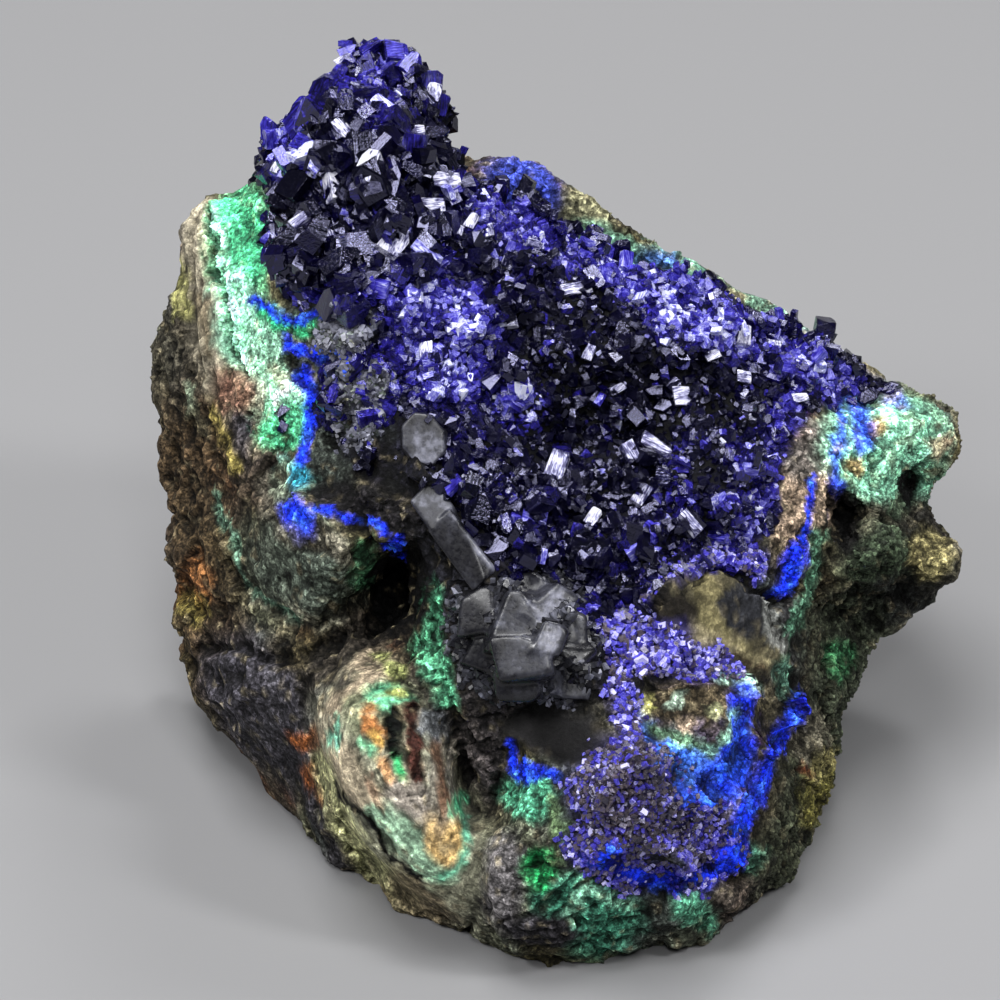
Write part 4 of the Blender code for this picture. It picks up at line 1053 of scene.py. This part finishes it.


# Crystals whose broad faces catch the light, each set by its middle on the face, its length, width and
# thickness, the turn of its length, and how far its broad side leans up and to the right.  Their pale,
# streaked lavender-white colour is painted highlight, on top of the lamps' own glints on them.
GLINT_CRYSTALS = [(-15.5, 36.5, 2.3, 1.4, 1.2, -50, 6, 2), (-16.2, 31.3, 4.2, 2.0, 1.6, 98, 26, 30),
          (-12.8, 32.6, 3.2, 2.0, 1.8, 76, 2, -18), (-8.6, 36.6, 2.2, 1.6, 1.4, 10, 6, 4),
          (-5.4, 31.6, 2.8, 1.5, 1.4, 8, 10, 16), (-7.4, 28.3, 4.0, 2.4, 1.8, 12, 22, 8),
          (-18.0, 25.8, 3.8, 1.3, 1.3, 62, 25, -22), (-16.6, 25.2, 3.4, 1.1, 1.2, 108, 24, 20),
          (-19.4, 27.4, 2.4, 1.2, 1.2, 40, 8, 4), (-10.4, 25.2, 3.6, 2.4, 1.8, 58, 22, 24),
          (-2.8, 27.6, 1.6, 1.1, 1.0, 70, 6, 2), (-1.2, 26.6, 1.4, 0.9, 0.9, 100, 24, 22),
          (-4.2, 26.4, 1.5, 1.0, 0.9, 80, 7, 3), (-14.0, 38.9, 1.5, 0.9, 0.9, -55, 6, 3),
          (-12.5, 45.0, 1.8, 1.5, 1.4, 30, 16, 6), (-8.4, 43.4, 1.8, 1.2, 1.1, -30, 14, 14),
          (-15.4, 44.0, 1.8, 1.4, 1.2, 40, 10, -16), (-10.4, 44.2, 1.7, 1.4, 1.3, 0, 20, 10),
          (-6.8, 41.0, 1.9, 1.4, 1.2, 80, 8, 24), (-21.6, 33.5, 2.4, 1.4, 1.3, 70, 22, -24),
          (-20.4, 35.4, 2.0, 1.1, 1.1, 100, 8, 0), (18.3, 10.2, 2.3, 1.9, 1.4, 10, 7, 2),
          (7.5, 20.8, 3.2, 1.2, 1.1, 22, 24, 18), (5.3, 2.7, 4.4, 2.0, 1.6, 74, 6, 4),
          (15.2, 5.2, 3.2, 1.6, 1.4, -22, 25, 20), (12.6, 4.6, 2.0, 1.4, 1.2, -60, 24, 24),
          (24.2, 12.2, 1.4, 1.2, 1.0, 0, 6, 3), (24.3, 16.3, 2.2, 1.5, 1.2, 80, 24, 20),
          (21.0, 14.3, 1.5, 0.9, 0.8, 30, 7, 3), (29.8, 10.2, 1.5, 1.0, 0.9, 20, 6, 4),
          (-7.2, 14.2, 2.3, 1.3, 1.1, 100, 6, 3), (11.6, 11.0, 1.4, 0.9, 0.9, 40, 6, 3),
          (3.4, 25.3, 1.6, 0.9, 0.9, -10, 24, 20), (8.8, 14.5, 1.6, 1.1, 1.0, 70, 6, 2),
          (13.6, 0.4, 2.4, 1.3, 1.2, 60, 24, 22), (18.5, -2.2, 2.6, 1.2, 1.1, -48, 25, 20),
          (9.0, -1.6, 1.8, 1.2, 1.0, 60, 6, 3), (0.8, 17.4, 1.8, 1.2, 1.1, 20, 23, 18)]
ground_tree = BVHTree.FromPolygons([Vector(point) for point in points],
                                   [list(face.vertices) for face in rock.data.polygons])


OUT, UP, RIGHT = Vector(OUTWARD), Vector(UPWARD), Vector((1, 0, 0))
ABOVE_FACE = 40


def ground_under(u, v):
    """The spot of the rock below a place on the face, in metres."""
    over = Vector(FACE_CORNER) + (RIGHT * u + UP * v + OUT * ABOVE_FACE) / 1000
    return ground_tree.ray_cast(over, -OUT)[0] or ground_tree.find_nearest(over - OUT * 0.038)[0]


def leaning(lean_up, lean_right):
    """The way out of the face, leaning up and to the right by so many degrees."""
    return (OUT + UP * math.tan(math.radians(lean_up))
            + RIGHT * math.tan(math.radians(lean_right))).normalized()


def across_face(turn, normal):
    """The way along the face at a turn, square to a normal."""
    along = RIGHT * math.cos(math.radians(turn)) + UP * math.sin(math.radians(turn))
    return (along - normal * along.dot(normal)).normalized()


def set_crystals(name, places, material, sink, seed, tone=0.5):
    """Crystals set one by one on the rock, each with its broad side towards the front."""
    whole = bmesh.new()
    own = whole.verts.layers.float_vector.new("own")
    level = whole.verts.layers.float.new("tone")
    for index, (u, v, length, width, thick, turn, lean_up, lean_right) in enumerate(places):
        foot = ground_under(u, v) - OUT * sink / 1000
        broad_side = leaning(lean_up, lean_right)
        axis = across_face(turn, broad_side)
        across = axis.cross(broad_side)
        one = cut_crystal("one", seed + index, 3, 1.0, True, 1.0, 0.035)
        start = len(whole.verts)
        whole.from_mesh(one.data)
        whole.verts.ensure_lookup_table()
        for vertex in whole.verts[start:]:
            x, y, z = vertex.co
            vertex[own] = (x * width, y * thick, z * length)
            vertex[level] = tone + 0.12 * math.sin(7.0 * index)
            vertex.co = foot + (across * x * width + broad_side * y * thick
                                + axis * (z + BURIED) * length) / 1000
        bpy.data.objects.remove(one)
    bmesh.ops.recalc_face_normals(whole, faces=whole.faces)
    item = linked(name, meshed(whole, name))
    item.data.materials.append(material)
    return item


# Painted highlights: these crystals are coloured pale lavender-white whatever the light.
glint_crystals = set_crystals("azurite_bright_crystals", GLINT_CRYSTALS,
                           azurite_finish("azurite faces with painted glints", 0.14, PAINTED_GLINT_FACES, 1.9), -0.4, 300, 0.52)
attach(glint_crystals, "root")
CAP = [(-15.9, 42.4, 1.8, 1.5, 1.5, 70, 0, -20), (-14.6, 44.4, 2.4, 2.2, 2.0, 30, 20, -10),
       (-12.4, 45.0, 2.6, 2.2, 2.2, 80, 25, 4), (-10.4, 44.7, 2.3, 2.1, 2.0, 10, 20, 12),
       (-8.6, 43.7, 2.5, 2.0, 2.0, 50, 12, 20), (-7.0, 42.0, 2.4, 1.9, 1.9, 95, 4, 26),
       (-17.5, 41.0, 2.3, 1.8, 1.8, 60, -4, -26), (-6.4, 39.8, 2.3, 1.9, 1.8, 80, 0, 30),
       (-13.4, 43.4, 2.2, 1.8, 1.8, 120, 8, -6), (-10.9, 42.8, 2.2, 1.9, 1.8, 40, 8, 10)]
cap = set_crystals("azurite_cap_crystals", CAP, azurite, -0.2, 400, 0.56)
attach(cap, "root")


# ---------------------------------------------------------------------------------------------------
# The cluster of cloudy grey-blue crystals at the foot of the bowl: blunt blocks, half clear, frosted.
def grey_finish():
    material, tree = blank_material("cloudy grey crystal")
    tone = clouded_tone(tree, (noise_at(tree, 330, 4, 0.6), 1.3), (noise_at(tree, 1100, 4, 0.6), 0.7))
    shade = ramp(tree, tone, [(0.0, (0.002, 0.002, 0.003)), (0.35, (0.009, 0.009, 0.012)),
                              (0.62, (0.036, 0.037, 0.047)), (1.0, (0.24, 0.245, 0.31))])
    fine = noise_at(tree, 2600, 3, 0.6)
    rough = ramp(tree, fine, [(0.3, 0.20), (0.7, 0.42)])
    skin(tree, shade, rough, (fine, 0.25, 0.00008), IOR=1.6, Specular_IOR_Level=0.3)
    return material


def intergrown(item, voxel, rounds):
    """Closes the crystals of an item into one crust with softly rounded edges."""
    close = item.modifiers.new("close", "REMESH")
    close.mode = "VOXEL"
    close.voxel_size = voxel / 1000
    soften = item.modifiers.new("soften", "SMOOTH")
    soften.iterations = rounds
    baked(item)
    for face in item.data.polygons:
        face.use_smooth = True


def faced_crystal(u, v, wide, tall, deep, lean_up, lean_right, turn):
    """One blunt crystal with an eight-sided face towards the front, in place."""
    work = bmesh.new()
    bmesh.ops.create_cone(work, cap_ends=True, segments=8, radius1=0.62, radius2=0.5, depth=1.0)
    foot = ground_under(u, v)
    axis = leaning(lean_up, lean_right)
    side = across_face(turn, axis)
    across = axis.cross(side)
    for vertex in work.verts:
        x, y, z = vertex.co
        vertex.co = foot + (side * x * wide + across * y * tall + axis * z * deep) / 1000
    return meshed(work, "faced")


def joined(item, mesh):
    work = bmesh.new()
    work.from_mesh(item.data)
    work.from_mesh(mesh)
    work.to_mesh(item.data)
    work.free()
    bpy.data.meshes.remove(mesh)


CLOUD_SOFT = 0.6


def clouded(item, clouds, base):
    """Gives each spot of the item the depth of grey of the crystal that it belongs to."""
    where = on_face(points_of(item.data))
    tone = numpy.full(len(where), base)
    for u, v, length, width, turn, depth in clouds:
        share = spot_at(where, u, v, length, width, turn, CLOUD_SOFT)
        tone = tone * (1 - share) + depth * share
    mark(item.data, "tone", tone)


GREY_BLOCKS = [(-1.4, -10.6, 4.6, 4.6, 3.6, 100, 4, -16), (1.5, -11.8, 6.2, 4.6, 4.6, 84, 4, -4),
               (4.4, -10.4, 4.8, 3.8, 3.8, 60, 18, 14), (4.8, -13.3, 3.2, 2.8, 3.6, 80, 6, 4),
               (2.3, -15.2, 5.4, 4.4, 4.2, 14, 6, -6), (6.0, -17.2, 5.6, 4.1, 3.8, -12, 10, 8),
               (1.8, -17.7, 4.4, 3.0, 3.0, 8, -8, -8), (7.2, -14.8, 3.4, 3.0, 3.0, 40, 18, 16),
               (-0.6, -14.4, 4.4, 4.0, 3.2, 70, 0, -16), (6.6, -12.4, 3.4, 3.0, 3.0, 100, 10, 20),
               (2.6, -8.8, 3.8, 3.4, 3.0, 30, 20, -6), (4.2, -16.6, 4.0, 3.4, 3.2, 100, 0, 0)]
GREY_CLOUDS = [(-1.6, -11.2, 2.6, 3.4, 0, 0.22), (1.4, -11.8, 2.3, 3.0, 0, 0.52),
               (4.3, -10.3, 2.0, 2.2, 0, 0.74), (4.8, -13.4, 1.2, 1.4, 0, 0.80),
               (2.3, -15.4, 2.6, 1.8, 10, 0.55), (6.0, -17.6, 2.6, 1.9, -10, 0.56),
               (1.8, -17.9, 2.0, 1.2, 0, 0.30), (8.3, -17.0, 0.7, 1.6, 0, 0.85),
               (7.4, -14.4, 1.6, 1.6, 0, 0.36)]
PALE_BLADES = [(-6.3, -0.8, 4.0, 3.3, 3.0, -44, 10, -4), (-3.4, -4.8, 7.4, 3.0, 3.0, -46, 0, -14)]
BLADE_CLOUDS = [(-7.1, 5.0, 2.8, 2.4, 0, 0.68), (-6.2, -0.4, 2.2, 1.7, -44, 0.74),
                (-3.6, -5.0, 4.4, 1.9, -46, 0.32), (-1.4, -5.4, 2.6, 0.6, -50, 0.92)]

grey_stone = grey_finish()
greys = set_crystals("grey_crystals", GREY_BLOCKS, grey_stone, 0.9, 200)
intergrown(greys, 0.17, 30)
clouded(greys, GREY_CLOUDS, 0.34)
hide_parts("grey_crystal_cluster")
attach(greys, "root")
blades = set_crystals("grey_blades", PALE_BLADES, grey_stone, -0.1, 230)
joined(blades, faced_crystal(-7.2, 5.7, 4.3, 5.4, 4.2, 6, -6, 20))
intergrown(blades, 0.14, 6)
clouded(blades, BLADE_CLOUDS, 0.44)
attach(blades, "root")
grey_foot = front * spot(2.2, -13.6, 7.4, 6.4) * (1 - spot(5.3, -22.2, 4.8, 2.8, -6))
grey_foot *= 1 - blue
sugar_tone = 0.84 + 0.12 * lumpy(0.0018, 47) - 0.44 * grey_foot
sugar_tone -= 0.05 * front * spot(-13.8, 9.2, 3.2, 4.8)
sugar = front * most(spot(-15.0, 16.6, 3.4, 3.0), spot(-13.8, 9.2, 3.2, 4.8))
sugary = grow("grey_sugar_druse", needles, rise(0.3, 0.7, most(sugar, grey_foot)), 0.50 + 0.15 * grey_foot,
              sugar_tone, grey_stone, 0.36, 0.95, 0.16, 9, 0.3)
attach(sugary, "root")


# ---------------------------------------------------------------------------------------------------
# Crumbs: the malachite, the matte blue azurite and the mossy rims are earthy crusts of tiny grains, each
# in the colour of the crust that it belongs to.
def crumb(name, seed):
    chance = random.Random(seed)
    work = bmesh.new()
    bmesh.ops.create_icosphere(work, subdivisions=1, radius=0.5)
    for vertex in work.verts:
        vertex.co *= chance.uniform(0.7, 1.15)
    return bpy.data.objects.new(name, meshed(work, name))


def crumb_finish():
    material, tree = blank_material("earthy crumbs")
    shade = value_of(tree, "paint", "Color")
    fine = noise_at(tree, 3200, 3, 0.7)
    for value, stops in ((value_of(tree, "tone"), [(0.0, 0.45), (0.5, 1.0), (1.0, 1.9)]),
                         (fine, [(0.3, 0.6), (0.7, 1.4)])):
        shade = multiplied(tree, 1.0, shade, ramp(tree, value, stops))
    skin(tree, shade, 0.8, (fine, 0.5, 0.0001), Specular_IOR_Level=0.2)
    return material


crumbs = shelf_of("crumbs", [crumb(f"crumb_{i}", 90 + i) for i in range(4)])
green_cover = most(belongs("malachite_left_crust"), belongs("malachite_wing"))
mossy = front * vein(MOSS, 4.5)
crumb_cover = numpy.clip(0.9 * green_cover + blue + 0.7 * mossy, 0, 1)
crumb_cover *= rise(-0.5, 0.1, lumpy(0.0012, 51))
grains = grow("earthy_crumbs", crumbs, crumb_cover, 0.42, 0.5, crumb_finish(), 0.36, 1.0, 0.35, 7, 0)
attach(grains, "root")

for shelf in (large_blocks, blocks, long_blocks, needles, crumbs):
    for item in list(shelf.objects):
        bpy.data.objects.remove(item)
    bpy.data.collections.remove(shelf)


# ---------------------------------------------------------------------------------------------------
# The pale floor it stands on, soft studio lights and the camera, which looks down on the leaning face.
FLOOR_REACH = 1.6
FLOOR_BACK = 0.9
FLOOR_HALF_WIDTH = 2.5
CURVE_RADIUS = 0.5
CURVE_STEPS = 24
WALL_TOP = 2.0
LIGHTS_AIM = (0, 0, 0.03)
SKY = (0.75, 0.77, 0.82, 1)
SKY_STRENGTH = 0.09
CAMERA_AWAY = 0.60
CAMERA_LENS = 216
CAMERA_SENSOR = 36
CAMERA_NEAREST = 0.01


def floor_with_backdrop():
    """A floor that curves up into a backdrop far behind."""
    work = bmesh.new()
    rows = [(-FLOOR_REACH, 0.0)]
    for step in range(CURVE_STEPS + 1):
        angle = math.radians(90) * step / CURVE_STEPS
        rows.append((FLOOR_BACK + CURVE_RADIUS * math.sin(angle),
                     CURVE_RADIUS - CURVE_RADIUS * math.cos(angle)))
    rows.append((FLOOR_BACK + CURVE_RADIUS, WALL_TOP))
    before = None
    for away, up in rows:
        pair = [work.verts.new((side * FLOOR_HALF_WIDTH, away, up)) for side in (-1, 1)]
        if before:
            work.faces.new((before[0], before[1], pair[1], pair[0]))
        before = pair
    bmesh.ops.recalc_face_normals(work, faces=work.faces)
    mesh = meshed(work, "floor")
    for face in mesh.polygons:
        face.use_smooth = True
    return linked("floor", mesh)


floor = floor_with_backdrop()
paper, paper_tree = blank_material("pale paper")
sheen = put(paper_tree, "ShaderNodeBsdfPrincipled", {"Base Color": (0.21, 0.21, 0.215, 1), "Roughness": 0.9})
put(paper_tree, "ShaderNodeOutputMaterial", {"Surface": sheen.outputs[0]})
floor.data.materials.append(paper)


def soft_light(name, place, wide, watts):
    light = bpy.data.lights.new(name, "AREA")
    light.shape = "RECTANGLE"
    light.size, light.size_y = wide
    light.energy = watts
    item = linked(name, light)
    item.location = place
    item.rotation_euler = (Vector(LIGHTS_AIM) - Vector(place)).to_track_quat("-Z", "Y").to_euler()


soft_light("broad panel", (-0.30, -0.62, 1.05), (0.80, 0.55), 3.6)
soft_light("top box", (-0.12, -0.05, 0.85), (0.50, 0.40), 7.0)
soft_light("left lamp", (-0.50, -0.34, 0.60), (0.13, 0.16), 3.0)
soft_light("right lamp", (0.50, -0.26, 0.62), (0.13, 0.16), 3.0)
soft_light("front lamp", (0.06, -0.70, 0.66), (0.14, 0.14), 2.0)
soft_light("back lamp", (0.15, 0.45, 0.60), (0.18, 0.18), 2.4)

world = bpy.data.worlds.new("studio")
world.use_nodes = True
sky = world.node_tree.nodes["Background"]
sky.inputs["Color"].default_value = SKY
sky.inputs["Strength"].default_value = SKY_STRENGTH
bpy.context.scene.world = world
bpy.context.scene.view_settings.view_transform = "Standard"

camera = bpy.data.cameras.new("camera")
camera.lens = CAMERA_LENS
camera.sensor_width = CAMERA_SENSOR
camera.clip_start = CAMERA_NEAREST
eye = linked("camera", camera)
eye.location = FACE_CORNER + CAMERA_AWAY * OUTWARD
eye.rotation_euler = (-Vector(OUTWARD)).to_track_quat("-Z", "Y").to_euler()
bpy.context.scene.camera = eye
